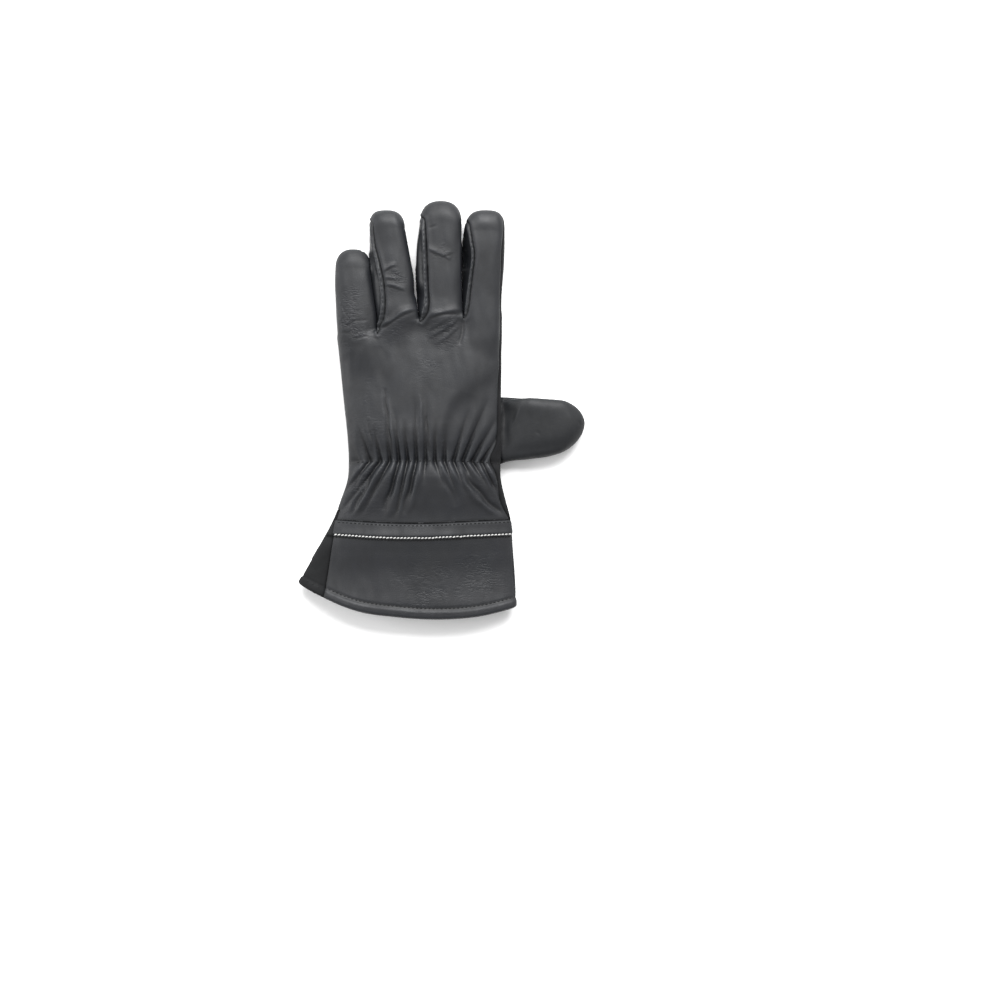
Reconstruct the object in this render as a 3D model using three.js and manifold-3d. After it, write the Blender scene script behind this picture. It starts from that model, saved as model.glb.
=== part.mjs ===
// Leather outdoor glove for the left hand, lying on its palm with the thumb out to the side.
// Millimetres. +X points to the thumb, +Y to the fingertips, +Z up from the surface it lies on.
// The origin is on that surface, in the middle of the glove's width and length.

import * as THREE from 'three';
import Module from 'manifold-3d';
import { ParametricGeometry } from 'three/addons/geometries/ParametricGeometry.js';
import { mergeVertices } from 'three/addons/utils/BufferGeometryUtils.js';

const wasm = await Module();
wasm.setup();

// Driving dimensions
const WALL = 1.6;
const SEAM_GAP = 0.3;
const HEM_DEPTH = 7;
const HEM_ROLL = 1;
const FLAT_PRESS = 1.5;
const OVERLAP = 0.05;
const FINE_WELD = 1e-4;
const COARSE_WELD = 5e-3;
const SHARPEST_CORNER = 0.3;
const WORK_TOP = 60;
const WORK_SIDE = 130;
const WORK_LENGTH = 160;

// Roundness of the soft sections: 2 is an ellipse, more is boxier
const HAND_ROUNDNESS = 2.5;
const FINGER_ROUNDNESS = 2.3;
const TIP_ROUNDNESS = 2.4;

// How finely each surface is faceted
const HAND_TOP_STEPS = 42;
const HAND_UNDER_STEPS = 10;
const HAND_INNER_STEPS = 18;
const FINGER_STEPS = 12;
const FINGER_INNER_STEPS = 8;
const THUMB_STEPS = 12;
const TIP_RINGS = 3;
const THUMB_TIP_RINGS = 4;
const TIP_INNER_RINGS = 2;
const STEPS_A_GATHER = 3;
const OUTLINE_STEPS = 13;
const LINE_STEPS = 2;
const ABOVE_SEAM_CORNERS = 4;
const FOURCHETTE_CORNERS = 6;

// Outline of the hand and the cuff, from past the hem to the roots of the fingers
const HAND_COLUMNS = ['y', 'left', 'right', 'leftEdge', 'rightEdge', 'top', 'gather'];
const HAND_ROWS = [
  [-152, -115.5, 49.5, 8, 10, 19, 0],
  [-114.5, -94.4, 49.0, 8, 10, 20, 0],
  [-89.4, -80.3, 47.2, 8.5, 10.5, 21, 0],
  [-72.0, -71.0, 45.8, 9, 11.5, 22, 0],
  [-59.7, -66.3, 42.6, 9.5, 13, 22, 0.6],
  [-45.2, -61.6, 39.4, 9.5, 14.5, 21, 1.3],
  [-33.3, -61.0, 39.3, 9.5, 15, 19, 0.7],
  [-20.0, -61.6, 39.4, 10, 15.5, 22, 1.2],
  [6.3, -64.4, 39.5, 10, 15, 24, 0.5],
  [30.0, -66.8, 39.8, 9.5, 12.5, 23, 0],
  [44.0, -68.2, 39.8, 9, 10.5, 20.5, 0],
  [56.0, -68.8, 39.8, 8.5, 9, 18, 0],
  [78.0, -69.0, 39.8, 8, 8.5, 15.5, 0],
];
const HAND_STATIONS = [-152, -118, -88, -70, -58, -47, -38, -33, -28, -19, -7, 8, 24, 38, 50, 64, 78];
const HAND_INNER_STATIONS = [-152, -118, -88, -60, -45, -33, -18, 4, 30, 55, 78];

// Outline of each finger, from inside the hand to where its tip begins to round
const FINGER_COLUMNS = ['y', 'left', 'right', 'top'];
const FINGERS = {
  little: {
    tip: 106.4,
    rows: [
      [30, -66.0, -42.6, 18.5],
      [53, -68.6, -43.2, 17.5],
      [72, -69.7, -44.6, 16.5],
      [85, -70.2, -46.0, 16.5],
      [93, -70.0, -46.6, 16],
    ],
  },
  ring: {
    tip: 132.0,
    rows: [
      [30, -41.0, -14.8, 21],
      [59, -41.0, -16.5, 19],
      [72, -43.2, -17.6, 18],
      [88, -45.4, -18.2, 18],
      [103, -47.0, -20.9, 17.5],
      [120, -47.4, -24.0, 17],
    ],
  },
  middle: {
    tip: 138.1,
    rows: [
      [30, -13.0, 13.6, 21],
      [59, -12.2, 13.6, 19.5],
      [73, -14.9, 13.2, 18.5],
      [88, -16.1, 13.1, 18.5],
      [105, -16.3, 13.3, 18],
      [123, -14.2, 13.6, 17.5],
    ],
  },
  index: {
    tip: 132.0,
    rows: [
      [30, 15.2, 39.4, 20],
      [59, 15.6, 39.7, 18.5],
      [73, 14.8, 39.9, 18],
      [99, 14.3, 41.7, 18],
      [112, 14.4, 42.0, 17.5],
      [118, 14.8, 42.0, 17],
    ],
  },
};
const FINGER_STATIONS = 6;

// Outline of the thumb, from inside the palm to where its tip begins to round
const THUMB_COLUMNS = ['x', 'low', 'high', 'top'];
const THUMB_ROWS = [
  [2, -48, -8, 9],
  [13, -51, 3, 11],
  [26, -44.5, 7.5, 12],
  [39, -36, 8.3, 13],
  [58.7, -32.7, 7.1, 17],
  [72, -30.8, 6.4, 18],
  [80, -28.6, 6.4, 17.6],
  [95, -25.8, 7.4, 17],
];
const THUMB_TIP_START = 77.5;
const THUMB_TIP = 95;
const THUMB_TIP_ROUNDNESS = 1.8;
const THUMB_STATIONS = 9;

// Lines seen from above, each a short run of points (x, y)
const HEM_LINE = [
  [-120, -92], [-94.4, -114.5], [-76.6, -124.2], [-56.8, -132.2], [-29.7, -136.5], [0, -138.1], [25.1, -136.2],
  [48.8, -130.6], [75, -122],
];
const BAND_TOP_BACK = [[-120, -72.6], [-69.3, -72.9], [-40, -74.6], [-11.9, -75.2], [20, -73.8], [75, -71.5]];
const BAND_LOW_BACK = [[-120, -81.5], [-70.6, -82.5], [-40, -84.3], [-11.9, -84.6], [20, -83.3], [75, -81]];
const BAND_TOP_PALM = [[-120, -92], [-48.2, -87.5], [-5.3, -80.2], [44.9, -73.6], [75, -71.5]];
const BAND_LOW_PALM = [[-120, -101], [-48.2, -95.4], [-19.8, -91.4], [14, -86.5], [44.9, -82.8], [75, -81]];
const FINGER_SEAM = [[-60, 49], [-42, 50], [-30, 46.5], [-14, 48], [2, 53], [15, 60.5], [30, 66]];
const CROTCH_LINE = [[-80, 49], [-42, 51.8], [-13.5, 59.7], [15, 62.8], [60, 66]];
const GUSSET_BACK = [[-66.9, -66], [-69.3, -73], [-77.2, -124.4], [-80, -150], [-130, -150], [-130, -66]];
const GUSSET_PALM = [[-64.6, -67.2], [-50.8, -76], [-50.8, -150], [-130, -150], [-130, -67.2]];
const THUMB_OVAL = [
  [36.3, 14.9], [22, 4.5], [8.6, -6.9], [0, -20], [-2.8, -32], [-2.4, -42], [3.3, -51.2], [13.2, -55.8],
  [26, -53], [45, -44],
];
const THUMB_OVAL_END = [[62, -44], [62, 14.9]];
const PATCH_LINE = [[-4, -21], [2, -20.4], [13.2, -16.8], [23.1, -14.5], [30.4, -8.3], [34, 2], [37, 20]];
const OVAL_HEIGHT = 7.5;

// Height of the seam between back and palm along the two edges of the glove
const SEAM_COLUMNS = ['y', 'left', 'right'];
const SEAM_ROWS = [
  [-160, 7, 9], [-80, 7.5, 9.5], [-68, 7.5, 15.5], [-45, 7.5, 17.5], [15, 7.5, 17.5], [45, 7.5, 14],
  [62, 7.5, 13.2], [114, 7.5, 13.2], [124, 7.5, 10.5], [132, 7, 7.5], [160, 7, 7],
];
const SEAM_LEFT_X = -70;
const SEAM_RIGHT_X = 40;

// Side walls between the fingers: middle of the gap, and the seam on the top of the finger to its right
const FOURCHETTE_COLUMNS = ['y', 'gap', 'seam'];
const FOURCHETTES = {
  fourchette_little_ring: [
    [49.2, -42.1, -40.2], [58, -42.1, -37.6], [72, -43.9, -36.6], [85, -45.7, -37.8], [96, -46.9, -40.2],
    [108, -47.9, -43.4], [125, -48.3, -45.4],
  ],
  fourchette_ring_middle: [
    [56.6, -14.3, -11.0], [66, -15.6, -8.4], [80, -16.9, -8.6], [90, -17.1, -8.8], [104, -18.4, -9.4],
    [118, -19.4, -10.2], [127, -18.6, -11.4],
  ],
  fourchette_middle_index: [
    [59.7, 14.6, 16.9], [68, 14.2, 18.6], [78, 13.9, 19.6], [90, 13.8, 21.0], [102, 13.8, 22.2],
    [111, 13.9, 20.8], [124, 14.2, 18.2],
  ],
};
const FOURCHETTE_LOW = 4.5;
const FOURCHETTE_HIGH = 9.5;
const FOURCHETTE_REACH = 4.5;

// Main folds of the top: each runs from (x0, y0) to (x1, y1), as deep and as wide as it says
const FOLD_COLUMNS = ['x0', 'y0', 'x1', 'y1', 'depth', 'width'];
const FOLD_ROWS = [
  [-42, 50, -22, 63, 1.2, 3.5],
  [-6, 53, 14, 62, 1.1, 3.5],
  [-37, 8, -31, -26, 1.0, 2.5],
  [-58, -40, -64, -66, 1.0, 3],
  [22, -8, 12, -30, 0.8, 2.5],
];

function table(columns, rows) {
  return rows.map((row) => Object.fromEntries(columns.map((name, i) => [name, row[i]])));
}

// A smooth curve through every column of a table, read by the value of its first column
function smoothTable(columns, rows) {
  const places = rows.map((row) => row[0]);
  const values = rows.flatMap((row) => row.slice(1));
  const curve = new THREE.CubicInterpolant(places, values, columns.length - 1);
  return (place) => {
    const inside = THREE.MathUtils.clamp(place, places[0], places.at(-1));
    const found = curve.evaluate(inside);
    return Object.fromEntries(columns.slice(1).map((name, i) => [name, found[i]]));
  };
}

function smoothLine(points, steps) {
  const curve = new THREE.SplineCurve(points.map(([x, y]) => new THREE.Vector2(x, y)));
  return curve.getPoints(steps).map((point) => [point.x, point.y]);
}

function spread(from, to, count) {
  return Array.from({ length: count }, (_, i) => from + ((to - from) * i) / (count - 1));
}

// Signed power, which turns a circle into the rounded box of a soft section
function bulge(value, roundness) {
  return Math.sign(value) * Math.abs(value) ** (2 / roundness);
}

function solidOf(geometry, tolerance = FINE_WELD) {
  geometry.deleteAttribute('normal');
  geometry.deleteAttribute('uv');
  const merged = mergeVertices(geometry, tolerance);
  const corners = merged.index.array;
  const triangles = [];
  for (let i = 0; i < corners.length; i += 3) {
    const [a, b, c] = corners.slice(i, i + 3);
    if (a !== b && b !== c && c !== a) triangles.push(a, b, c);
  }
  const vertProperties = new Float32Array(merged.attributes.position.array);
  const build = (triVerts) => new wasm.Manifold(new wasm.Mesh({ numProp: 3, vertProperties, triVerts }));
  const solid = build(new Uint32Array(triangles));
  if (solid.volume() > 0) return solid;
  return build(new Uint32Array(triangles.reverse()));
}

// A solid through rings of points: the first and the last ring close to a point of their own
function loft(rings, pointOn, steps) {
  const geometry = new ParametricGeometry(
    (u, v, target) => {
      const ring = rings[Math.round(v * (rings.length - 1))];
      pointOn(ring, Math.round(u * steps) % steps, target);
    },
    steps,
    rings.length - 1,
  );
  return solidOf(geometry);
}

function prism(outline, low, high) {
  const shape = new THREE.Shape(outline.map(([x, y]) => new THREE.Vector2(x, y)));
  const geometry = new THREE.ExtrudeGeometry(shape, { depth: high - low, bevelEnabled: false });
  geometry.translate(0, 0, low);
  return solidOf(geometry);
}

function box(low, high) {
  const size = high.map((value, i) => value - low[i]);
  const geometry = new THREE.BoxGeometry(...size);
  geometry.translate(...low.map((value, i) => value + size[i] / 2));
  return solidOf(geometry);
}

// Everything on the fingertip side of a line that is seen from above, moved by shift along Y
function beyond(line, shift) {
  const points = smoothLine(line, line.length * LINE_STEPS).map(([x, y]) => [x, y + shift]);
  const outline = [[-WORK_SIDE, points[0][1]], ...points, [WORK_SIDE, points.at(-1)[1]]];
  return prism([...outline, [WORK_SIDE, WORK_LENGTH], [-WORK_SIDE, WORK_LENGTH]], -WORK_TOP, WORK_TOP);
}

// An outline moved outward by a distance, with its corners kept
function grown(outline, distance) {
  const count = outline.length;
  const area = outline.reduce((sum, [x, y], i) => {
    const [nextX, nextY] = outline[(i + 1) % count];
    return sum + x * nextY - nextX * y;
  }, 0);
  const side = Math.sign(area) * distance;
  return outline.map(([x, y], i) => {
    const [beforeX, beforeY] = outline[(i + count - 1) % count];
    const [afterX, afterY] = outline[(i + 1) % count];
    const arriving = new THREE.Vector2(x - beforeX, y - beforeY).normalize();
    const leaving = new THREE.Vector2(afterX - x, afterY - y).normalize();
    const along = arriving.clone().add(leaving).normalize();
    const reach = side / Math.max(along.dot(leaving), SHARPEST_CORNER);
    return [x + along.y * reach, y - along.x * reach];
  });
}

// Dent left by the main folds at a place on the top
function foldDepth(x, y) {
  return table(FOLD_COLUMNS, FOLD_ROWS).reduce((sum, fold) => {
    const run = new THREE.Vector2(fold.x1 - fold.x0, fold.y1 - fold.y0);
    const reach = new THREE.Vector2(x - fold.x0, y - fold.y0);
    const share = THREE.MathUtils.clamp(reach.dot(run) / run.lengthSq(), 0, 1);
    const away = reach.addScaledVector(run, -share).length() / fold.width;
    return sum + fold.depth * Math.exp(-away * away);
  }, 0);
}

// One point of a soft section: the edges lie at their own heights and the underside is pressed flat.
// across and up run from -1 to 1, and inset moves the surface inward.
function softPoint(section, across, up, inset) {
  const middle = (section.left + section.right) / 2;
  const half = ((section.right - section.left) / 2 - inset) * section.share;
  const edge = THREE.MathUtils.lerp(section.leftEdge, section.rightEdge, (across * section.share + 1) / 2);
  const rise = up > 0 ? section.top - inset - edge : edge + FLAT_PRESS - inset;
  const height = edge + up * rise * section.share;
  return { side: middle + across * half, height: Math.max(height, Math.max(inset, 0)) };
}

const handAt = smoothTable(HAND_COLUMNS, HAND_ROWS);

// The hand and cuff: an even run of points over the gathered top, fewer below
function handSolid(inset) {
  const isInner = inset > 0;
  const stations = isInner ? HAND_INNER_STATIONS : HAND_STATIONS;
  const rings = stations.map((y) => ({ y, share: 1, ...handAt(y) }));
  rings.unshift({ ...rings[0], share: 0 });
  rings.push({ ...rings.at(-1), share: 0 });
  const steps = isInner ? HAND_INNER_STEPS : HAND_TOP_STEPS + HAND_UNDER_STEPS;
  return loft(
    rings,
    (section, step, target) => {
      const isTop = !isInner && step <= HAND_TOP_STEPS;
      let across;
      let up;
      if (isTop) {
        across = 1 - (2 * step) / HAND_TOP_STEPS;
        up = Math.max(0, 1 - Math.abs(across) ** HAND_ROUNDNESS) ** (1 / HAND_ROUNDNESS);
      } else {
        const turn = isInner
          ? (2 * Math.PI * step) / steps
          : Math.PI * (1 + (step - HAND_TOP_STEPS) / HAND_UNDER_STEPS);
        across = bulge(Math.cos(turn), HAND_ROUNDNESS);
        up = bulge(Math.sin(turn), HAND_ROUNDNESS);
      }
      const point = softPoint(section, across, up, inset);
      if (isTop && section.share > 0) {
        const wave = (1 - Math.cos((2 * Math.PI * step) / STEPS_A_GATHER)) / 2;
        point.height += section.gather * wave * up;
        point.height -= foldDepth(point.side, section.y) * up;
      }
      target.set(point.side, section.y, point.height);
    },
    steps,
  );
}

// Rings of a finger or thumb: its length, then the rounding of its tip
function tubeRings(at, stations, start, tipStart, tip, tipRings, roundness = TIP_ROUNDNESS) {
  const rings = spread(start, tipStart, stations).map((place) => ({ place, share: 1, ...at(place) }));
  for (let i = 1; i <= tipRings; i += 1) {
    const turn = (Math.PI / 2) * (i / tipRings);
    const place = tipStart + (tip - tipStart) * bulge(Math.sin(turn), roundness);
    rings.push({ place, ...at(place), share: i === tipRings ? 0 : bulge(Math.cos(turn), roundness) });
  }
  rings.unshift({ ...rings[0], share: 0 });
  return rings;
}

function fingerSolid({ tip, rows }, inset) {
  const smooth = smoothTable(FINGER_COLUMNS, rows);
  const at = (y) => {
    const row = smooth(y);
    return { ...row, leftEdge: row.top / 2, rightEdge: row.top / 2 };
  };
  const isInner = inset > 0;
  const rings = tubeRings(
    at, FINGER_STATIONS, rows[0][0], rows.at(-1)[0], tip - inset, isInner ? TIP_INNER_RINGS : TIP_RINGS,
  );
  const steps = isInner ? FINGER_INNER_STEPS : FINGER_STEPS;
  return loft(
    rings,
    (section, step, target) => {
      const turn = (2 * Math.PI * step) / steps;
      const across = bulge(Math.cos(turn), FINGER_ROUNDNESS);
      const up = bulge(Math.sin(turn), FINGER_ROUNDNESS);
      const point = softPoint(section, across, up, inset);
      target.set(point.side, section.place, point.height);
    },
    steps,
  );
}

function thumbSolid(inset) {
  const smooth = smoothTable(THUMB_COLUMNS, THUMB_ROWS);
  const at = (x) => {
    const row = smooth(x);
    return { left: row.low, right: row.high, top: row.top, leftEdge: row.top / 2, rightEdge: row.top / 2 };
  };
  const rings = tubeRings(
    at, THUMB_STATIONS, THUMB_ROWS[0][0] + inset, THUMB_TIP_START, THUMB_TIP - inset,
    THUMB_TIP_RINGS, THUMB_TIP_ROUNDNESS,
  );
  return loft(
    rings,
    (section, step, target) => {
      const turn = (2 * Math.PI * step) / THUMB_STEPS;
      const across = bulge(Math.cos(turn), FINGER_ROUNDNESS);
      const up = bulge(Math.sin(turn), FINGER_ROUNDNESS);
      const point = softPoint(section, across, up, inset);
      target.set(section.place, point.side, point.height);
    },
    THUMB_STEPS,
  );
}

// Everything above the seam between back and palm, whose height changes along both edges
function aboveSeam(shift) {
  const rings = table(SEAM_COLUMNS, SEAM_ROWS).map((row) => ({ ...row, share: 1 }));
  rings.unshift({ ...rings[0], share: 0 });
  rings.push({ ...rings.at(-1), share: 0 });
  return loft(
    rings,
    (row, step, target) => {
      const slope = (row.right - row.left) / (SEAM_RIGHT_X - SEAM_LEFT_X);
      const isRight = step === 1 || step === 2;
      const isTop = step >= 2;
      const x = isRight ? WORK_SIDE : -WORK_SIDE;
      const seam = row.left + slope * (x - SEAM_LEFT_X) + shift;
      const middle = (seam + WORK_TOP) / 2;
      const z = isTop ? WORK_TOP : seam;
      target.set(x * row.share, row.y, row.share ? z : middle);
    },
    ABOVE_SEAM_CORNERS,
  );
}

// Space that a fourchette takes up: one side wall of each finger, and the bottom of the gap between
function fourchetteSpace(rows, grow) {
  const rings = table(FOURCHETTE_COLUMNS, rows).map((row) => ({ ...row, share: 1 }));
  rings[0].y -= grow;
  rings.at(-1).y += grow;
  rings.unshift({ ...rings[0], share: 0 });
  rings.push({ ...rings.at(-1), share: 0 });
  return loft(
    rings,
    (row, step, target) => {
      const near = row.gap - FOURCHETTE_REACH - grow;
      const far = row.seam + grow;
      const low = FOURCHETTE_LOW - grow;
      const high = FOURCHETTE_HIGH + grow;
      const wall = row.gap - grow;
      const corners = [[near, low], [far, low], [far, WORK_TOP], [wall, WORK_TOP], [wall, high], [near, high]];
      const inside = [(wall + far) / 2, (low + high) / 2];
      const [x, z] = row.share ? corners[step] : inside;
      target.set(x, row.y, z);
    },
    FOURCHETTE_CORNERS,
  );
}

function geometryOf(solid) {
  const mesh = solid.getMesh();
  const geometry = new THREE.BufferGeometry();
  geometry.setAttribute('position', new THREE.BufferAttribute(mesh.vertProperties, mesh.numProp));
  geometry.setIndex(new THREE.BufferAttribute(mesh.triVerts, 1));
  return geometry;
}

// The one body of a piece, without the slivers that a cut can leave
function mainBody(solid) {
  const bodies = solidOf(geometryOf(solid), COARSE_WELD).decompose();
  return bodies.reduce((best, body) => (body.volume() > best.volume() ? body : best));
}

function join(solids) {
  return solids.reduce((whole, solid) => whole.add(solid));
}

function without(solid, others) {
  return others.reduce((rest, other) => rest.subtract(other), solid);
}

// Outer form and hollow of the hand with its fingers, and of the thumb
const fingers = Object.values(FINGERS);
const beforeCrotch = (shift) => box(
  [-WORK_SIDE, -WORK_LENGTH, -WORK_TOP], [WORK_SIDE, WORK_LENGTH, WORK_TOP],
).subtract(beyond(CROTCH_LINE, shift));
const handForm = handSolid(0).intersect(beforeCrotch(0));
const handOuter = join([handForm, ...fingers.map((finger) => fingerSolid(finger, 0))]);
const handHollow = join([
  handSolid(WALL).intersect(beforeCrotch(-WALL)),
  ...fingers.map((finger) => fingerSolid(finger, WALL)),
]);
const handSwollen = handSolid(-SEAM_GAP);
const thumbOuter = thumbSolid(0);
const hollow = handHollow.add(thumbSolid(WALL));

// The hem is a curve, and the leather is turned over and rolled along it
const pastHem = beyond(HEM_LINE, 0);
const hemStrip = pastHem.subtract(beyond(HEM_LINE, HEM_DEPTH));
const rolledHem = handSolid(-HEM_ROLL).subtract(hollow).intersect(hemStrip);
const handShell = handOuter.subtract(hollow).intersect(pastHem).add(rolledHem);
const fullShell = handOuter.add(thumbOuter).subtract(hollow).intersect(pastHem).add(rolledHem);

// Back and palm halves
const backHalf = handShell.intersect(aboveSeam(SEAM_GAP / 2));
const palmHalf = handShell.subtract(aboveSeam(-SEAM_GAP / 2));

// Side walls between the fingers
const fourchetteSpaces = Object.values(FOURCHETTES).map((rows) => fourchetteSpace(rows, SEAM_GAP));
const fourchettes = Object.entries(FOURCHETTES).map(([name, rows]) => {
  const solid = handShell.intersect(fourchetteSpace(rows, 0));
  return [name, solid];
});

// Side gore of the cuff: its back part lies above the seam and its palm part below
function gussetSpace(grow) {
  const upper = prism(grown(GUSSET_BACK, grow), -WORK_TOP, WORK_TOP).intersect(aboveSeam(-OVERLAP - grow));
  const lower = prism(grown(GUSSET_PALM, grow), -WORK_TOP, WORK_TOP).subtract(aboveSeam(grow));
  return upper.add(lower);
}
const gusset = handShell.intersect(gussetSpace(0));
const besideGusset = gussetSpace(SEAM_GAP);

// Thumb and its patch: the palm inside the oval seam, and the thumb outside the hand
const ovalOutline = [...smoothLine(THUMB_OVAL, OUTLINE_STEPS), ...THUMB_OVAL_END];
const ovalSpace = prism(ovalOutline, -WORK_TOP, OVAL_HEIGHT);
const ovalSwollen = prism(grown(ovalOutline, SEAM_GAP), -WORK_TOP, OVAL_HEIGHT + SEAM_GAP);
const thumbBeyond = thumbOuter.subtract(handSwollen);
const thumbPart = fullShell.intersect(ovalSpace.add(thumbBeyond));
const patchOutline = [...smoothLine(PATCH_LINE, OUTLINE_STEPS), [-20, 20], [-20, -21]];
const patchSpace = prism(patchOutline, -WORK_TOP, OVAL_HEIGHT);
const thumbPatch = thumbPart.intersect(patchSpace);
const thumb = thumbPart.subtract(prism(grown(patchOutline, SEAM_GAP), -WORK_TOP, OVAL_HEIGHT + SEAM_GAP));

// Panels of the back
const halfGap = SEAM_GAP / 2;
const backPanel = without(backHalf.intersect(beyond(BAND_TOP_BACK, halfGap)), [...fourchetteSpaces, besideGusset]);
const cuffBackAll = backHalf.subtract(besideGusset).subtract(beyond(BAND_TOP_BACK, -halfGap));
const cuffBandBack = cuffBackAll.intersect(beyond(BAND_LOW_BACK, halfGap));
const cuffBack = cuffBackAll.subtract(beyond(BAND_LOW_BACK, -halfGap));

// Panels of the palm side
const palmOnly = without(palmHalf, [...fourchetteSpaces, besideGusset, ovalSwollen]);
const cuffPalmAll = palmOnly.subtract(beyond(BAND_TOP_PALM, -halfGap));
const cuffBandPalm = cuffPalmAll.intersect(beyond(BAND_LOW_PALM, halfGap));
const cuffPalm = cuffPalmAll.subtract(beyond(BAND_LOW_PALM, -halfGap));
const gapLine = (name) => FOURCHETTES[name].map(([y, gap]) => [gap, y]);

// Space over one finger between the gaps on its two sides, past the seam at its root
function fingerSpace(leftGap, rightGap, leftGrow, rightGrow, seamShift) {
  const left = gapLine(leftGap).map(([x, y]) => [x - leftGrow, y]);
  const right = gapLine(rightGap).map(([x, y]) => [x + rightGrow, y]);
  const outline = [
    [left[0][0], 0], ...left, [left.at(-1)[0], WORK_LENGTH], [right.at(-1)[0], WORK_LENGTH],
    ...right.reverse(), [right.at(-1)[0], 0],
  ];
  return prism(outline, -WORK_TOP, WORK_TOP).intersect(beyond(FINGER_SEAM, seamShift));
}
const [littleRing, ringMiddle, middleIndex] = Object.keys(FOURCHETTES);
const ringFront = palmOnly.intersect(fingerSpace(littleRing, ringMiddle, 0, -halfGap, halfGap));
const middleFront = palmOnly.intersect(fingerSpace(ringMiddle, middleIndex, -halfGap, 0, halfGap));
const palmPanel = without(palmOnly.intersect(beyond(BAND_TOP_PALM, halfGap)), [
  fingerSpace(littleRing, middleIndex, SEAM_GAP, SEAM_GAP, -halfGap),
]);

const LEATHERS = {
  back: { color: 0x3d3e40, roughness: 0.5 },
  palm: { color: 0x2b2c2d, roughness: 0.8 },
  sheen: { color: 0x36383a, roughness: 0.42 },
  thumb: { color: 0x333435, roughness: 0.55 },
  gore: { color: 0x2c2d2d, roughness: 0.85 },
};

const PIECES = [
  ['back_panel', backPanel, 'back'],
  ['palm_panel', palmPanel, 'palm'],
  ['ring_finger_front', ringFront, 'sheen'],
  ['middle_finger_front', middleFront, 'sheen'],
  ...fourchettes.map(([name, solid]) => [name, solid, 'sheen']),
  ['thumb', thumb, 'thumb'],
  ['thumb_patch', thumbPatch, 'thumb'],
  ['cuff_band_back', cuffBandBack, 'back'],
  ['cuff_back', cuffBack, 'back'],
  ['cuff_band_palm', cuffBandPalm, 'palm'],
  ['cuff_palm', cuffPalm, 'palm'],
  ['cuff_gusset', gusset, 'gore'],
];

const glove = new THREE.Group();
for (const [name, solid, leather] of PIECES) {
  const flat = geometryOf(mainBody(solid)).toNonIndexed();
  flat.computeVertexNormals();
  const material = new THREE.MeshStandardMaterial({ ...LEATHERS[leather], metalness: 0 });
  const piece = new THREE.Mesh(flat, material);
  piece.name = name;
  glove.add(piece);
}

export default glove;
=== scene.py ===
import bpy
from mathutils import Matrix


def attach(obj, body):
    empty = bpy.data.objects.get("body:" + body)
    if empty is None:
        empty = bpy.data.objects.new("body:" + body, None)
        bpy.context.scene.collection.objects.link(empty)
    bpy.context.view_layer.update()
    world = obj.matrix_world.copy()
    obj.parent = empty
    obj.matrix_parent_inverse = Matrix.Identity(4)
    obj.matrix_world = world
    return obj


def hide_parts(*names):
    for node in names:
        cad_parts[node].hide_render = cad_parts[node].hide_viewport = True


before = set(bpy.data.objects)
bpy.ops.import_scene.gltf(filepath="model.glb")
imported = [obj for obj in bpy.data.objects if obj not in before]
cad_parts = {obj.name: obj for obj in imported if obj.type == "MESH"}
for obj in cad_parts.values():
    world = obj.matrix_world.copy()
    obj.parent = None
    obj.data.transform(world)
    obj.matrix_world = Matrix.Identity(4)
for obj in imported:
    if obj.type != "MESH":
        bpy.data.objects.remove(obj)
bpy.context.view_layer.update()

import functools
import math

import bpy
import numpy as np
from mathutils import Vector, kdtree
from mathutils.bvhtree import BVHTree

bl_info = {
    "name": "Leather Outdoor Glove",
    "version": (1, 0, 0),
    "blender": (4, 5, 0),
    "location": "View3D > Sidebar > Glove",
    "description": "Makes a left-hand leather glove with a gathered wrist and a flared cuff, panel by panel",
    "category": "Object",
}

# The glove lies on its palm. +X points to the thumb, +Y to the fingertips and +Z up.
# Tables and shape functions are in millimetres; meshes are made in metres.
MM = 0.001
BODY = "root"

# ---------------------------------------------------------------- Shape of the glove
FLAT_PRESS = 1.5
HAND_ROUNDNESS = 2.5
FINGER_ROUNDNESS = 3.0
TIP_DOME = 2.2
DOME_TURN = 0.7
CORNER_TURN = 0.3

# y, left, right, left edge height, right edge height, top
HAND_ROWS = [
    [-152, -115.5, 49.5, 8, 10, 19],
    [-114.5, -94.4, 49.0, 8, 10, 20],
    [-89.4, -80.3, 47.2, 8.5, 10.5, 21],
    [-72.0, -71.0, 45.8, 9, 11.5, 22],
    [-59.7, -66.3, 42.6, 9.5, 13, 22],
    [-45.2, -61.6, 39.4, 9.5, 14.5, 21],
    [-33.3, -61.0, 39.3, 9.5, 15, 19],
    [-20.0, -61.6, 39.4, 10, 15.5, 22],
    [6.3, -64.4, 39.5, 10, 15, 24],
    [30.0, -66.8, 39.8, 9.5, 12.5, 23],
    [44.0, -68.2, 39.8, 9, 10.5, 20.5],
    [56.0, -68.8, 39.8, 8.5, 9, 18],
    [78.0, -69.0, 39.8, 8, 8.5, 15.5],
]

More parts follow.
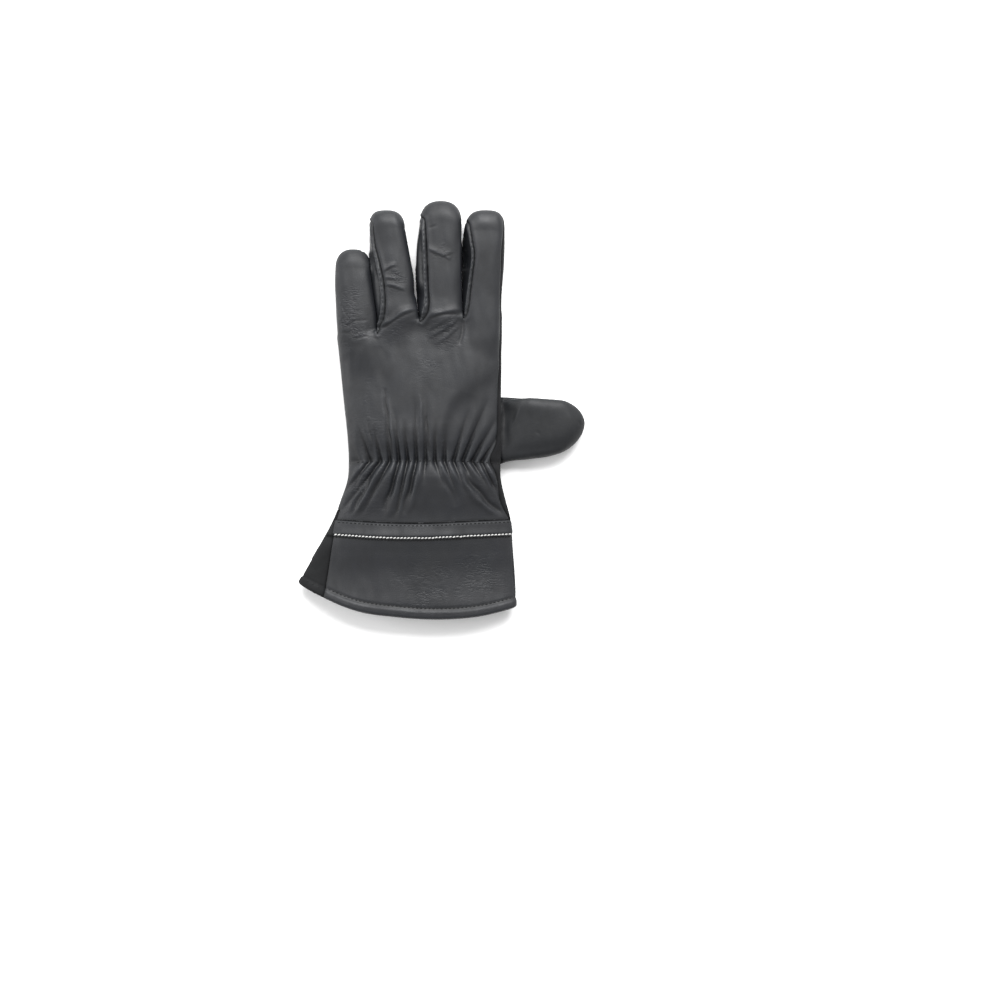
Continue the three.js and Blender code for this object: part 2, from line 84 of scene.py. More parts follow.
# y, left, right, top
FINGER_ROWS = {
    "little": [
        [30, -66.0, -42.6, 18.5],
        [53, -68.6, -43.2, 17.5],
        [72, -69.7, -44.6, 16.5],
        [85, -70.2, -46.0, 16.5],
        [93, -70.0, -46.6, 16],
    ],
    "ring": [
        [30, -41.0, -14.8, 21],
        [59, -41.0, -16.5, 19],
        [72, -43.2, -17.6, 18],
        [88, -45.4, -18.2, 18],
        [103, -47.0, -20.9, 17.5],
        [120, -47.4, -24.0, 17],
    ],
    "middle": [
        [30, -13.0, 13.6, 21],
        [59, -12.2, 13.6, 19.5],
        [73, -14.9, 13.2, 18.5],
        [88, -16.1, 13.1, 18.5],
        [105, -16.3, 13.3, 18],
        [123, -14.2, 13.6, 17.5],
    ],
    "index": [
        [30, 15.2, 39.4, 20],
        [59, 15.6, 39.7, 18.5],
        [73, 14.8, 39.9, 18],
        [99, 14.3, 41.7, 18],
        [112, 14.8, 42.0, 17.5],
        [118, 15.6, 42.0, 17],
    ],
}
FINGER_TIPS = {"little": 106.4, "ring": 132.0, "middle": 138.1, "index": 132.0}

# How square the two corners of a tip are: left, right
TIP_CORNERS = {"little": [2.4, 2.4], "ring": [3.2, 2.4], "middle": [2.4, 2.4], "index": [2.5, 3.2]}
FINGER_FADE = 50
FINGER_FADE_CURVE = 0.008

# Room that is computed around each finger: to its left, to its right and below it
FINGER_ROOM = (8, 12, 4)

# x, low, high, top
THUMB_ROWS = [
    [2, -48, -8, 9],
    [13, -51, 3, 11],
    [26, -44.5, 7.5, 12],
    [39, -36, 8.3, 13],
    [58.7, -32.7, 7.1, 17],
    [72, -30.8, 6.4, 18],
    [80, -28.6, 6.4, 17.6],
    [95, -25.8, 7.4, 17],
]
THUMB_TIP_START = 77.5
THUMB_TIP = 95
THUMB_CORNERS = [1.8, 1.8]
THUMB_ROOT_X = 30
THUMB_SPAN = (-60, 20)

# Lines seen from above: x, y
HEM_LINE = [
    [-120, -92], [-94.4, -114.5], [-76.6, -124.2], [-56.8, -132.2], [-29.7, -136.5], [0, -138.1],
    [25.1, -136.2], [48.8, -130.6], [75, -122],
]
BAND_TOP_BACK = [[-120, -72.6], [-69.3, -72.9], [-40, -74.6], [-11.9, -75.2], [20, -73.8], [75, -71.5]]
BAND_LOW_BACK = [[-120, -81.5], [-70.6, -82.5], [-40, -84.3], [-11.9, -84.6], [20, -83.3], [75, -81]]
BAND_TOP_PALM = [[-120, -92], [-48.2, -87.5], [-5.3, -80.2], [44.9, -73.6], [75, -71.5]]
BAND_LOW_PALM = [[-120, -101], [-48.2, -95.4], [-19.8, -91.4], [14, -86.5], [44.9, -82.8], [75, -81]]
FINGER_SEAM = [[-60, 49], [-42, 50], [-30, 46.5], [-14, 48], [2, 53], [15, 60.5], [30, 66]]
CROTCH_LINE = [[-80, 49], [-42, 51.8], [-13.5, 59.7], [15, 62.8], [60, 66]]
GUSSET_BACK = [[-66.9, -66], [-69.3, -73], [-77.2, -124.4], [-80, -150], [-130, -150], [-130, -66]]
GUSSET_PALM = [[-64.6, -67.2], [-50.8, -76], [-50.8, -150], [-130, -150], [-130, -67.2]]
THUMB_OVAL = [
    [36.3, 14.9], [22, 4.5], [8.6, -6.9], [0, -20], [-2.8, -32], [-2.4, -42], [3.3, -51.2], [13.2, -55.8],
    [26, -53], [45, -44],
]
THUMB_OVAL_END = [[62, -44], [62, 14.9]]
PATCH_LINE = [[-4, -21], [2, -20.4], [13.2, -16.8], [23.1, -14.5], [30.4, -8.3], [34, 2], [37, 20]]
PATCH_END = [[-20, 20], [-20, -21]]
OVAL_HEIGHT = 7.5
OVAL_STEPS = 40
PATCH_STEPS = 30

# y, seam height at the left edge, seam height at the right edge
SEAM_ROWS = [
    [-160, 7, 9], [-80, 7.5, 9.5], [-68, 7.5, 15.5], [-45, 7.5, 17.5], [15, 7.5, 17.5], [45, 7.5, 14],
    [62, 7.5, 13.2], [114, 7.5, 13.2], [124, 7.5, 10.5], [132, 7, 7.5], [160, 7, 7],
]
SEAM_LEFT_X = -70
SEAM_RIGHT_X = 40

# Side walls between the fingers: y, middle of the gap, seam on the finger to its right
SIDE_WALL_ROWS = {
    "fourchette_little_ring": [
        [49.2, -42.1, -40.2], [58, -42.1, -37.6], [72, -43.9, -36.6], [85, -45.7, -37.8],
        [96, -46.9, -40.2], [108, -47.9, -43.4], [125, -48.3, -45.4],
    ],
    "fourchette_ring_middle": [
        [57.6, -14.0, -10.6], [62, -14.8, -8.8], [68, -15.6, -7.9], [80, -16.9, -8.4], [90, -17.1, -8.8],
        [104, -18.4, -9.4], [118, -19.4, -10.2], [127, -18.6, -11.4],
    ],
    "fourchette_middle_index": [
        [59.7, 14.6, 16.9], [68, 14.2, 18.6], [78, 13.9, 19.6], [90, 13.8, 21.0],
        [102, 13.8, 22.2], [111, 13.9, 20.8], [124, 14.2, 18.2],
    ],
}
SIDE_WALL_LOW = 4.5
SIDE_WALL_HIGH = 9.5
SIDE_WALL_REACH = 4.5
SIDE_WALL_ROUND = 3.0

# Fingers that lie against each other: left finger, right finger, y above which they part,
# y below which the wall between them falls away, its fall, width of its edge
PRESSED_FINGERS = {
    "fourchette_little_ring": ["little", "ring", 97, 101, 2.2, 5.0],
    "fourchette_ring_middle": ["ring", "middle", 75, 78, 2.2, 3.2],
    "fourchette_middle_index": ["middle", "index", 111, 118, 2.6, 1.8],
}
PRESSED_GAP = 0.07
PRESSED_REACH = 4.0
PRESSED_LIMIT = 16.0
WALL_LOWEST = 3.0
WALL_MARGIN = 0.5

# Soft borders as distances along Y from where the wall begins, its fall ends or its fingers part
EDGE_GROWS = (-2, 8)
FALL_BEGINS = (0, 4)
FALL_ENDS = (7, -5)
PRESS_BEGINS = (-2, 1)
PRESS_ENDS = (3, -4)
RIDGE_ENDS = (1, -10)

# ---------------------------------------------------------------- Folds of the leather
# Gathers at the elastic: start x, y, upper end x, y, lower end x, y, height, width
GATHERS = [
    [-50.8, -34.6, -59.4, -14.9, -66.7, -60.4, 1.0, 1.7],
    [-42.9, -34.3, -46.9, -14.9, -60.7, -49.2, 1.0, 1.6],
    [-36.6, -34.3, -39.6, -20.1, -58.7, -69.6, 1.1, 1.7],
    [-30.4, -34.1, -32.3, -6.9, -37.6, -54.5, 1.0, 1.7],
    [-24.8, -34.0, -27.1, -13.5, -33.0, -71.6, 1.1, 1.6],
    [-19.1, -34.0, -20.1, -17.5, -26.0, -69.6, 1.1, 1.6],
    [-13.2, -34.0, -13.9, 6.3, -15.8, -49.2, 1.0, 1.7],
    [-6.9, -34.0, -5.9, -14.9, -6.6, -39.9, 0.9, 1.6],
    [-1.0, -34.0, -1.3, -14.9, 7.3, -51.8, 1.0, 1.7],
    [5.3, -34.0, 7.9, -20.1, 11.9, -54.5, 1.0, 1.7],
    [11.2, -34.0, 23.1, -1.0, 16.5, -43.9, 1.1, 1.7],
    [17.2, -34.3, 29.0, -10.9, 24.4, -45.2, 1.1, 1.7],
    [23.8, -34.6, 35.0, -17.5, 32.3, -47.9, 1.0, 1.6],
    [29.7, -35.0, 38.3, -20.8, 44.2, -65.7, 1.0, 1.6],
]
ELASTIC_LINE = [[-62, -35.2], [-50.8, -34.6], [-19, -34.0], [11, -34.0], [29.7, -35.0], [41, -36]]
ELASTIC_PINCH = 1.1
ELASTIC_WIDTH = 2.5
CREST_SHARE = 1.4
CREST_SPREAD = 1.15
VALLEY_DEPTH = 2.1
VALLEY_WIDTH = 1.0
GATHER_LONGER = 1.5
FOLD_SHARE = 1.5
FOLD_WOBBLE = 0.3
WOBBLE_WAVE = 2.7
FOLD_TAPER = 0.8
FAN_WIDENING = 0.8
FAN_FADE = 1.1
CREST_SHARPNESS = 2
VALLEY_SHARPNESS = 1.5
PINCH_SPARED = 0.6

# Broad rise and fall of the back of the hand and of the cuff: y, height at the left, middle and right
BACK_PROFILE = [
    [-139, 0.2, 0.4, 0.0], [-129, -0.3, 0.0, -0.7], [-119, -1.9, -1.4, -2.4], [-107, -3.1, -2.5, -3.9],
    [-95, -2.5, -2.2, -3.9], [-84, -2.0, -1.9, -3.9], [-77, -3.0, -3.2, -4.7], [-69, -2.7, -3.2, -4.6],
    [-60, -1.0, -2.0, -3.6], [-50, 1.0, -0.1, -2.0], [-42, 2.4, 1.3, -0.8], [-34, 1.2, 0.8, -1.5],
    [-28, 1.0, 0.7, -1.6], [-20, 1.0, 0.75, -1.7], [-14, 0.9, 0.35, -1.6], [-6, -0.3, -0.9, -1.7],
    [6, -2.0, -2.2, -1.9], [12, -2.8, -2.7, -2.0], [20, -3.6, -3.1, -2.0], [30, -2.5, -3.1, -1.7],
    [38, -0.9, -2.6, -1.0], [45, 0.3, -2.1, -0.4], [52, 0.7, -1.4, 0.0], [60, 0.8, 0.2, 0.2],
    [66, 0.7, 1.0, 0.2], [75, 0.3, 0.8, 0.1], [90, -0.6, 0.3, 0.0], [105, -1.5, 0.0, 0.0],
    [150, 0.0, 0.0, 0.0],
]
PROFILE_MIDDLE = [-54, -34, 0, 22]

# Folds of the thumb seen from above: x, y, to x, y, bow, height, width to the left and to the right
THUMB_FOLDS = [
    [36, 5.4, 86, 4.2, 0.6, 1.9, 1.8, 6.5],
    [37, 3.0, 50, -3.0, 0, -1.7, 6.0, 9.0],
    [40, 12, 41, -34, 0, -3.0, 11.0, 4.0],
    [62, -14, 66, -17, 0, -0.2, 1.0, 1.0],
    [91, -7, 92, -11, 0, -0.3, 0.9, 0.9],
    [44, -28, 90, -21, -1.0, -0.5, 4.0, 2.5],
]

# Folds and creases of the back: x, y, to x, y, bow, height, width to the left and to the right
BACK_FOLDS = [
    [-36.9, 14.0, -31.0, -34.0, -0.6, -0.85, 1.0, 1.4],
    [-34.4, 8.0, -29.4, -34.0, -0.6, 0.4, 0.9, 1.2],
    [-39.0, 42.0, -36.6, 8.0, 0, -0.35, 3.0, 5.0],
    [-13.6, 10.0, -12.3, -14.0, 0, 0.3, 0.9, 0.9],
    [-9.2, -4.0, -7.0, -33.0, 0, -0.6, 0.9, 0.9],
    [-42.7, -36.9, -60.7, -70.6, 1.0, -1.1, 1.8, 1.8],
    [-40.0, -38.0, -56.5, -68.0, 1.0, 0.5, 1.6, 2.2],
    [-48.2, -36.6, -58.7, -52.5, 0, -0.5, 1.4, 1.4],
    [11.6, -35.5, 43.0, -71.0, -2.4, -1.1, 1.8, 1.8],
    [8.0, -38.0, 38.0, -71.0, -2.4, 0.6, 2.2, 2.6],
    [0.5, -38.0, 10.5, -64.0, 0, -0.6, 1.8, 1.8],
    [23.7, -35.3, 38.3, -53.8, 0, -0.6, 1.4, 1.4],
    [-47.9, -6.6, -43.6, -33.4, 0, -0.5, 1.3, 1.3],
    [-28.7, -38.6, -38.5, -66.7, 0.5, -0.9, 1.6, 1.6],
    [-17.1, -36.3, -26.4, -71.7, 0.5, -1.0, 1.6, 1.6],
    [-13.5, -38.0, -21.5, -69.0, 0.5, 0.4, 1.8, 2.2],
    [-43.0, 49.5, -18.6, 64.9, 0.6, -0.3, 0.7, 1.0],
    [-8.0, 59.0, 13.0, 62.5, 1.6, -0.3, 0.8, 1.2],
    [-8.6, 47.4, 10.6, 58.6, -0.8, 0.36, 2.2, 0.8],
    [-4.2, 42.4, 13.0, 55.4, -0.6, 0.26, 1.8, 0.8],
    [-9.0, 52.4, 5.0, 59.6, -0.4, 0.24, 1.8, 0.8],
    [16.0, 62.2, 12.6, 41.9, 0, -0.6, 1.0, 1.4],
    [-9.8, 106.0, 2.4, 100.4, 0.4, 0.46, 2.4, 0.6],
    [0.0, 101.0, 7.6, 103.2, 0, 0.34, 2.0, 0.6],
    [1.0, 101.4, 6.4, 98.4, 0, 0.3, 1.6, 0.6],
    [-8.3, 119.6, -2.3, 121.0, 0, -0.15, 0.8, 0.8],
    [-38.4, 90.5, -29.0, 95.5, 0.4, 0.38, 1.8, 0.6],
    [-38.4, 86.2, -28.6, 85.6, 0.3, 0.34, 1.6, 0.6],
    [-37.6, 82.0, -23.2, 78.5, 0.5, 0.5, 2.2, 0.6],
    [-32.6, 92.6, -27.7, 89.8, 0, 0.15, 1.4, 1.4],
    [-60.1, 57.8, -47.8, 58.4, 0.5, -0.2, 0.7, 0.7],
    [-63.7, 53.8, -55.4, 58.6, 0, -0.2, 0.7, 0.7],
    [-65.7, 51.2, -58.1, 49.5, 0, -0.2, 0.7, 0.7],
    [-66.0, 70.0, -61.1, 61.1, 0, -0.2, 0.7, 0.7],
    [-58.8, 46.4, -47.2, 48.2, 0, -0.2, 0.8, 0.8],
    [-45.0, 50.2, -10.6, 70.4, 0.6, 1.0, 2.6, 11.0],
    [-14.0, 58.5, 18.0, 65.0, 1.6, 0.6, 2.6, 7.0],
    [-72.0, 33.0, -36.0, 47.2, -2.0, 0.34, 4.5, 14.0],
]

# Soft steps of the back, high on the left of the stroke: x, y, to x, y, bow, height, width, reach
BACK_STEPS = [
    [4.0, 0.0, 44.0, 33.0, -1.0, 0.85, 5.0, 22.0],
    [0.0, -30.0, 12.0, 12.0, 2.0, 1.1, 3.8, 12.0],
    [-44.0, 49.9, -14.6, 68.2, 0.6, 0.3, 0.9, 4.0],
    [-12.0, 58.0, 18.0, 65.0, 1.6, 0.3, 0.9, 4.0],
]

# Folds of the palm side, seen through the glove from above: x, y, to x, y, bow, height, both widths
PALM_FOLDS = [
    [-48, -99, -40, -117, 0.5, -0.5, 1.6, 1.6],
    [8, 20, 30, 27, 1.5, -0.4, 2.0, 2.0],
    [-40, 30, 5, 34, -2.0, -0.35, 2.5, 2.5],
    [-36, 4, -10, -2, 2.0, -0.3, 3.0, 3.0],
    [4, -34, 14, -27, 0.8, -0.5, 1.5, 1.5],
    [8, -42, 20, -38, -0.8, -0.5, 1.6, 1.6],
    [16, -24, 30, -20, 0.6, -0.45, 1.4, 1.4],
    [24, -48, 36, -40, 0.5, -0.4, 1.5, 1.5],
    [-36, 78, -22, 80, 0.6, -0.4, 1.2, 1.2],
    [-38, 90, -24, 92, -0.5, -0.35, 1.2, 1.2],
    [-10, 84, 8, 82, 0.6, -0.4, 1.2, 1.2],
    [-8, 96, 8, 97, 0.5, -0.35, 1.1, 1.1],
    [18, 86, 36, 88, 0.4, -0.3, 1.2, 1.2],
]

# Zones of fine wrinkles: x, y, radius, strength
WRINKLE_ZONES = [
    [-60, 56, 11.5, 0.95],
    [-60, 74, 7, 0.5],
    [-30, 86, 7, 0.6],
    [2, 103, 6, 0.4],
    [3, 51, 11, 0.5],
    [-30, 52, 10, 0.3],
    [-50, -50, 15, 0.5],
    [32, -50, 13, 0.4],
    [-50, -14, 13, 0.3],
    [-50, 12, 9, 0.3],
    [-8, 28, 12, 0.15],
    [64, -16, 16, 0.2],
    [-10, -118, 20, 0.35],
    [24, -112, 18, 0.35],
]

# How each kind of seam is shaped: dip, width of the dip, ridge beside it, drop of the lower panel
SEAM_KINDS = {
    "wall_top": [0.8, 0.9, 1.0, 0.0],
    "wall_soft": [0.45, 0.8, 1.0, 0.0],
    "wall_low": [0.4, 0.8, 0.1, 0.0],
    "side": [0.55, 0.8, 0.1, 0.0],
    "band_top": [0.25, 0.6, 0.1, 0.0],
    "band_low": [0.7, 0.6, 0.15, 0.0],
    "gusset": [0.25, 0.8, 0.0, 1.6],
    "under": [0.45, 0.8, 0.1, 0.0],
    "thumb": [0.6, 0.8, 0.15, 0.0],
}
RIDGE_AT = 1.7
RIDGE_WIDTH = 1.3
RIDGE_OFF_WALLS = 0.35
DROP_REACH = 3.5
SEAM_CLEARANCE = 0.1

# Puckers along the ridge of a side wall: depth, three wave numbers per millimetre, and how much they waver
PUCKER_DEPTH = 0.15
PUCKER_WAVES = (1.7, 0.7, 0.43)
PUCKER_WAVER = 1.3

HEM_DEPTH = 7.0
HEM_EDGE = 1.5
HEM_MIDDLE = 0.9
HEM_FALL = (1, 0.6)
HEM_DIP = 0.35
HEM_DIP_WIDTH = 0.9
HEM_THICKER = 0.9
HEM_FOLD = 1.2
HEM_OUTER_ROUND = 0.55
HEM_INNER_ROUND = 1.2
HEM_ROLL_BELOW = 0.5
HEM_ROLL_BESIDE = 0.6
BAND_PUFF = 0.3
BAND_LIFT = 1.3
BAND_TILT = 0.4
BAND_OVERLAP = 0.09
SIDE_FOOT = 2.0
SWELL_SIZE = 30.0
SWELL_HEIGHT = 0.4
SWELL_STRETCH = (1.9, 0.7, 1)
SWELL_BELOW = 0.5
RIPPLE_SIZE = 9.0
RIPPLE_HEIGHT = 0.2
WRINKLE_SIZE = 2.6
WRINKLE_PATCH_SIZE = 5.5
WRINKLE_HEIGHT = 0.6
WRINKLES_BELOW = 0.4
SEEDS = (11, 12, 13, 14)

# Soft borders: where an effect begins and where it has its full strength
FACING = (0.05, 0.5)
ON_HAND_X = (44, 40)
ON_HAND_Y = (-72, -66)
ON_THUMB_X = (39.5, 41)
ON_THUMB_LOW = (-42, -34)
ON_THUMB_HIGH = (11, 9)
BESIDE_THUMB_X = (39, 41)
BESIDE_THUMB_Y = (-42, -38)
PROFILE_FACING = (-0.5, 0.6)
BAND_FACING = (0.25, 0.7)
BAND_BEGINS = (-0.02, 0.06)
BAND_ENDS = (1.03, 0.97)

# Bending that counts as a full crest or valley, per millimetre, and the width of the shade along a seam
FULL_BEND = 0.10
SEAM_SHADE_WIDTH = 1.3

PANEL_SLOTS = {
    "back_panel": "back_leather",
    "cuff_band_back": "back_leather",
    "cuff_back": "back_leather",
    "palm_panel": "palm_leather",
    "cuff_band_palm": "palm_leather",
    "cuff_palm": "palm_leather",
    "ring_finger_front": "finger_leather",
    "middle_finger_front": "finger_leather",
    "fourchette_little_ring": "finger_leather",
    "fourchette_ring_middle": "finger_leather",
    "fourchette_middle_index": "finger_leather",
    "thumb": "thumb_leather",
    "thumb_patch": "thumb_leather",
    "cuff_gusset": "gore_leather",
}

GRID_LOW = (-98.0, -141.0, -2.4)
GRID_HIGH = (98.4, 141.4, 28.0)
BLEND = 2.0
CROTCH_BLEND = 3.0
FAR = 500.0
FLOOR_BLEND = 0.8
NOISE_SLOPES = 2048
NOISE_MIX = (73856093, 19349663, 83492791)
NOISE_GAIN = 1.6
LEAST_SLOPE = 0.02
LEAST_SQUARE = 0.05
TINY = 1e-9
SMOOTH_PASSES = 3
SNAP_SHARE = 0.28

CORNERS = np.array([[i, j, k] for i in (0, 1) for j in (0, 1) for k in (0, 1)])
CELL_EDGES = [
    (a, b)
    for a in range(8)
    for b in range(a + 1, 8)
    if np.abs(CORNERS[a] - CORNERS[b]).sum() == 1
]


# ---------------------------------------------------------------- Sizes and colours that a user may change
class GloveSizes(bpy.types.PropertyGroup):
    wall: bpy.props.FloatProperty(
        name="Leather thickness", description="Thickness of the leather panels",
        default=0.0016, min=0.001, max=0.003, unit="LENGTH", subtype="DISTANCE",
    )
    point_spacing: bpy.props.FloatProperty(
        name="Point spacing", description="Distance between the points of the leather's surface",
        default=0.0008, min=0.0006, max=0.004, unit="LENGTH", subtype="DISTANCE",
    )
    fold_depth: bpy.props.FloatProperty(
        name="Fold depth", description="How deep the folds and gathers are, as a share of the worn glove's",
        default=1.0, min=0.0, max=2.0, subtype="FACTOR",
    )
    hem_roll: bpy.props.FloatProperty(
        name="Hem roll", description="How far the rolled hem stands out",
        default=0.001, min=0.0, max=0.002, unit="LENGTH", subtype="DISTANCE",
    )
    white_pitch: bpy.props.FloatProperty(
        name="White stitch length", description="Distance between two stitches of the white row on the cuff",
        default=0.00224, min=0.001, max=0.006, unit="LENGTH", subtype="DISTANCE",
    )
    white_thickness: bpy.props.FloatProperty(
        name="White thread thickness", description="Thickness of the white thread",
        default=0.00092, min=0.0004, max=0.002, unit="LENGTH", subtype="DISTANCE",
    )
    dark_pitch: bpy.props.FloatProperty(
        name="Dark stitch length", description="Distance between two stitches of the dark rows",
        default=0.0026, min=0.001, max=0.006, unit="LENGTH", subtype="DISTANCE",
    )
    dark_thickness: bpy.props.FloatProperty(
        name="Dark thread thickness", description="Thickness of the dark thread",
        default=0.0006, min=0.0002, max=0.002, unit="LENGTH", subtype="DISTANCE",
    )


class GloveColours(bpy.types.PropertyGroup):
    back: bpy.props.FloatVectorProperty(
        name="Back", description="Leather of the back of the hand and the cuff", subtype="COLOR",
        default=(0.0056, 0.0063, 0.0080), min=0, max=1,
    )
    palm: bpy.props.FloatVectorProperty(
        name="Palm", description="Matte leather of the palm", subtype="COLOR",
        default=(0.0043, 0.0045, 0.0051), min=0, max=1,
    )
    fingers: bpy.props.FloatVectorProperty(
        name="Fingers", description="Leather of the finger fronts and side walls", subtype="COLOR",
        default=(0.0056, 0.0063, 0.0080), min=0, max=1,
    )
    thumb: bpy.props.FloatVectorProperty(
        name="Thumb", description="Leather of the thumb", subtype="COLOR",
        default=(0.0055, 0.0062, 0.0074), min=0, max=1,
    )
    gore: bpy.props.FloatVectorProperty(
        name="Side gore", description="Matte leather of the gore at the side of the cuff", subtype="COLOR",
        default=(0.0052, 0.0055, 0.0060), min=0, max=1,
    )
    inside: bpy.props.FloatVectorProperty(
        name="Inside", description="Suede inside of the leather", subtype="COLOR",
        default=(0.014, 0.0144, 0.0150), min=0, max=1,
    )
    white_thread: bpy.props.FloatVectorProperty(
        name="White thread", description="Thread of the row along the cuff band", subtype="COLOR",
        default=(0.56, 0.56, 0.545), min=0, max=1,
    )
    dark_thread: bpy.props.FloatVectorProperty(
        name="Dark thread", description="Thread of all other rows", subtype="COLOR",
        default=(0.0095, 0.010, 0.011), min=0, max=1,
    )


# ---------------------------------------------------------------- Curves and distances
def smooth_table(rows):
    """A smooth curve through every column of a table, read by the value of its first column."""
    rows = np.array(rows, float)
    places, values = rows[:, 0], rows[:, 1:]
    steps = np.diff(places)
    slopes = np.diff(values, axis=0) / steps[:, None]
    inner = slopes[:-1] * steps[1:, None] + slopes[1:] * steps[:-1, None]
    inner /= (steps[:-1] + steps[1:])[:, None]
    tangents = np.vstack([slopes[:1], inner, slopes[-1:]])

    def at(place):
        place = np.clip(np.asarray(place, float), places[0], places[-1])
        cell = np.clip(np.searchsorted(places, place) - 1, 0, len(steps) - 1)
        length = steps[cell][..., None]
        t = (place - places[cell])[..., None] / length
        rest = 1 - t
        start = values[cell] * (1 + 2 * t) * rest**2 + tangents[cell] * length * t * rest**2
        end = values[cell + 1] * (3 - 2 * t) * t**2 - tangents[cell + 1] * length * rest * t**2
        return start + end

    return at


def line_height(rows):
    """The y of a line that is seen from above, at any x."""
    table = smooth_table(rows)
    return lambda x: table(x)[..., 0]


def smooth_line(points, steps):
    """Points along a smooth line through the given points."""
    points = np.array(points, float)
    spans = len(points) - 1
    place = np.linspace(0, spans, steps + 1)
    cell = np.minimum(place.astype(int), spans - 1)
    t = (place - cell)[:, None]
    before, start = points[np.maximum(cell - 1, 0)], points[cell]
    end, after = points[cell + 1], points[np.minimum(cell + 2, spans)]
    leaving, arriving = (end - before) / 2, (after - start) / 2
    cubic = 2 * start - 2 * end + leaving + arriving
    square = 3 * end - 3 * start - 2 * leaving - arriving
    return ((cubic * t + square) * t + leaving) * t + start


def outline_distance(x, y, outline):
    """Distance to a closed outline seen from above, negative inside."""
    nearest = np.full(np.shape(x), np.inf)
    inside = np.zeros(np.shape(x), bool)
    for (ax, ay), (bx, by) in zip(outline, np.roll(outline, -1, axis=0)):
        run_x, run_y = bx - ax, by - ay
        share = np.clip(((x - ax) * run_x + (y - ay) * run_y) / (run_x**2 + run_y**2), 0, 1)
        nearest = np.minimum(nearest, np.hypot(x - ax - share * run_x, y - ay - share * run_y))
        if run_y:
            crosses = (ay > y) != (by > y)
            inside ^= crosses & (x < ax + (y - ay) * run_x / run_y)
    return np.where(inside, -nearest, nearest)


def smooth_step(low, high, value):
    """Rises smoothly from 0 to 1 between two values. With the higher one first it falls."""
    share = np.clip((value - low) / (high - low), 0, 1)
    return share * share * (3 - 2 * share)


def step_near(place, borders, value):
    """A smooth step whose two borders are given as distances from a place."""
    return smooth_step(place + borders[0], place + borders[1], value)


def soft_min(a, b, reach):
    """The smaller of two values, with a soft turn from one to the other."""
    share = np.maximum(reach - np.abs(a - b), 0) / reach
    return np.minimum(a, b) - share * share * reach / 4


def soft_max(a, b, reach):
    return -soft_min(-a, -b, reach)


def noise(points, size, seed):
    """Smooth noise from about -1 to 1 with bumps of about the given size."""
    draw = np.random.default_rng(seed)
    slopes = draw.normal(size=(NOISE_SLOPES, 3))
    slopes /= np.linalg.norm(slopes, axis=1)[:, None]
    turn = np.linalg.qr(draw.normal(size=(3, 3)))[0]
    place = np.asarray(points) @ turn / size
    cell = np.floor(place).astype(np.int64)
    share = place - cell
    weight = share**3 * (share * (share * 6 - 15) + 10)
    total = np.zeros(len(place))
    for corner in CORNERS:
        at = cell + corner
        pick = np.bitwise_xor.reduce(at * NOISE_MIX, axis=1)
        rise = ((share - corner) * slopes[pick % NOISE_SLOPES]).sum(axis=1)
        total += np.prod(np.where(corner, weight, 1 - weight), axis=1) * rise
    return total * NOISE_GAIN


HAND_AT = smooth_table(HAND_ROWS)
FINGER_AT = {name: smooth_table(rows) for name, rows in FINGER_ROWS.items()}
THUMB_AT = smooth_table(THUMB_ROWS)
SEAM_AT = smooth_table(SEAM_ROWS)
SIDE_WALL_AT = {name: smooth_table(rows) for name, rows in SIDE_WALL_ROWS.items()}
BACK_PROFILE_AT = smooth_table(BACK_PROFILE)
HEM_Y, CROTCH_Y, ELASTIC_Y = line_height(HEM_LINE), line_height(CROTCH_LINE), line_height(ELASTIC_LINE)
BAND_TOP_BACK_Y, BAND_LOW_BACK_Y = line_height(BAND_TOP_BACK), line_height(BAND_LOW_BACK)
BAND_TOP_PALM_Y, BAND_LOW_PALM_Y = line_height(BAND_TOP_PALM), line_height(BAND_LOW_PALM)
FINGER_SEAM_Y = line_height(FINGER_SEAM)
OVAL_OUTLINE = np.vstack([smooth_line(THUMB_OVAL, OVAL_STEPS), THUMB_OVAL_END])
PATCH_OUTLINE = np.vstack([smooth_line(PATCH_LINE, PATCH_STEPS), PATCH_END])


# ---------------------------------------------------------------- Solid form of the glove
def soft_section(side, z, left, right, left_edge, right_edge, top, roundness):
    """Place in a soft cross section: 1 on its surface, less inside. The underside is pressed flat."""
    across = (side - (left + right) / 2) / ((right - left) / 2)
    edge = left_edge + (right_edge - left_edge) * np.clip((across + 1) / 2, 0, 1)
    rise = np.where(z > edge, top - edge, edge + FLAT_PRESS)
    return (np.abs(across) ** roundness + np.abs((z - edge) / rise) ** roundness) ** (1 / roundness)


def tube_section(side, z, along, row, tip_start, tip, corners):
    """Place in a finger or thumb, whose tip is rounded. Corners are its left and right roundness."""
    left, right, top = np.moveaxis(row, -1, 0)
    across = (side - (left + right) / 2) / ((right - left) / 2)
    past = np.clip((along - tip_start) / (tip - tip_start), 0, None)
    roundness = corners[0] + (corners[1] - corners[0]) * smooth_step(-CORNER_TURN, CORNER_TURN, across)
    outline = (np.abs(across) ** roundness + past**roundness) ** (1 / roundness)
    rise = np.where(z > top / 2, top / 2, top / 2 + FLAT_PRESS)
    dome = FINGER_ROUNDNESS + (TIP_DOME - FINGER_ROUNDNESS) * smooth_step(0, DOME_TURN, past)
    return (outline**dome + np.abs((z - top / 2) / rise) ** dome) ** (1 / dome)


def as_distance(place, step):
    """Turns a place in a section, which is 1 on the surface, into a distance from that surface."""
    slope = np.sqrt(sum(part**2 for part in np.gradient(place, step)))
    return (place - 1) / np.maximum(slope, LEAST_SLOPE)


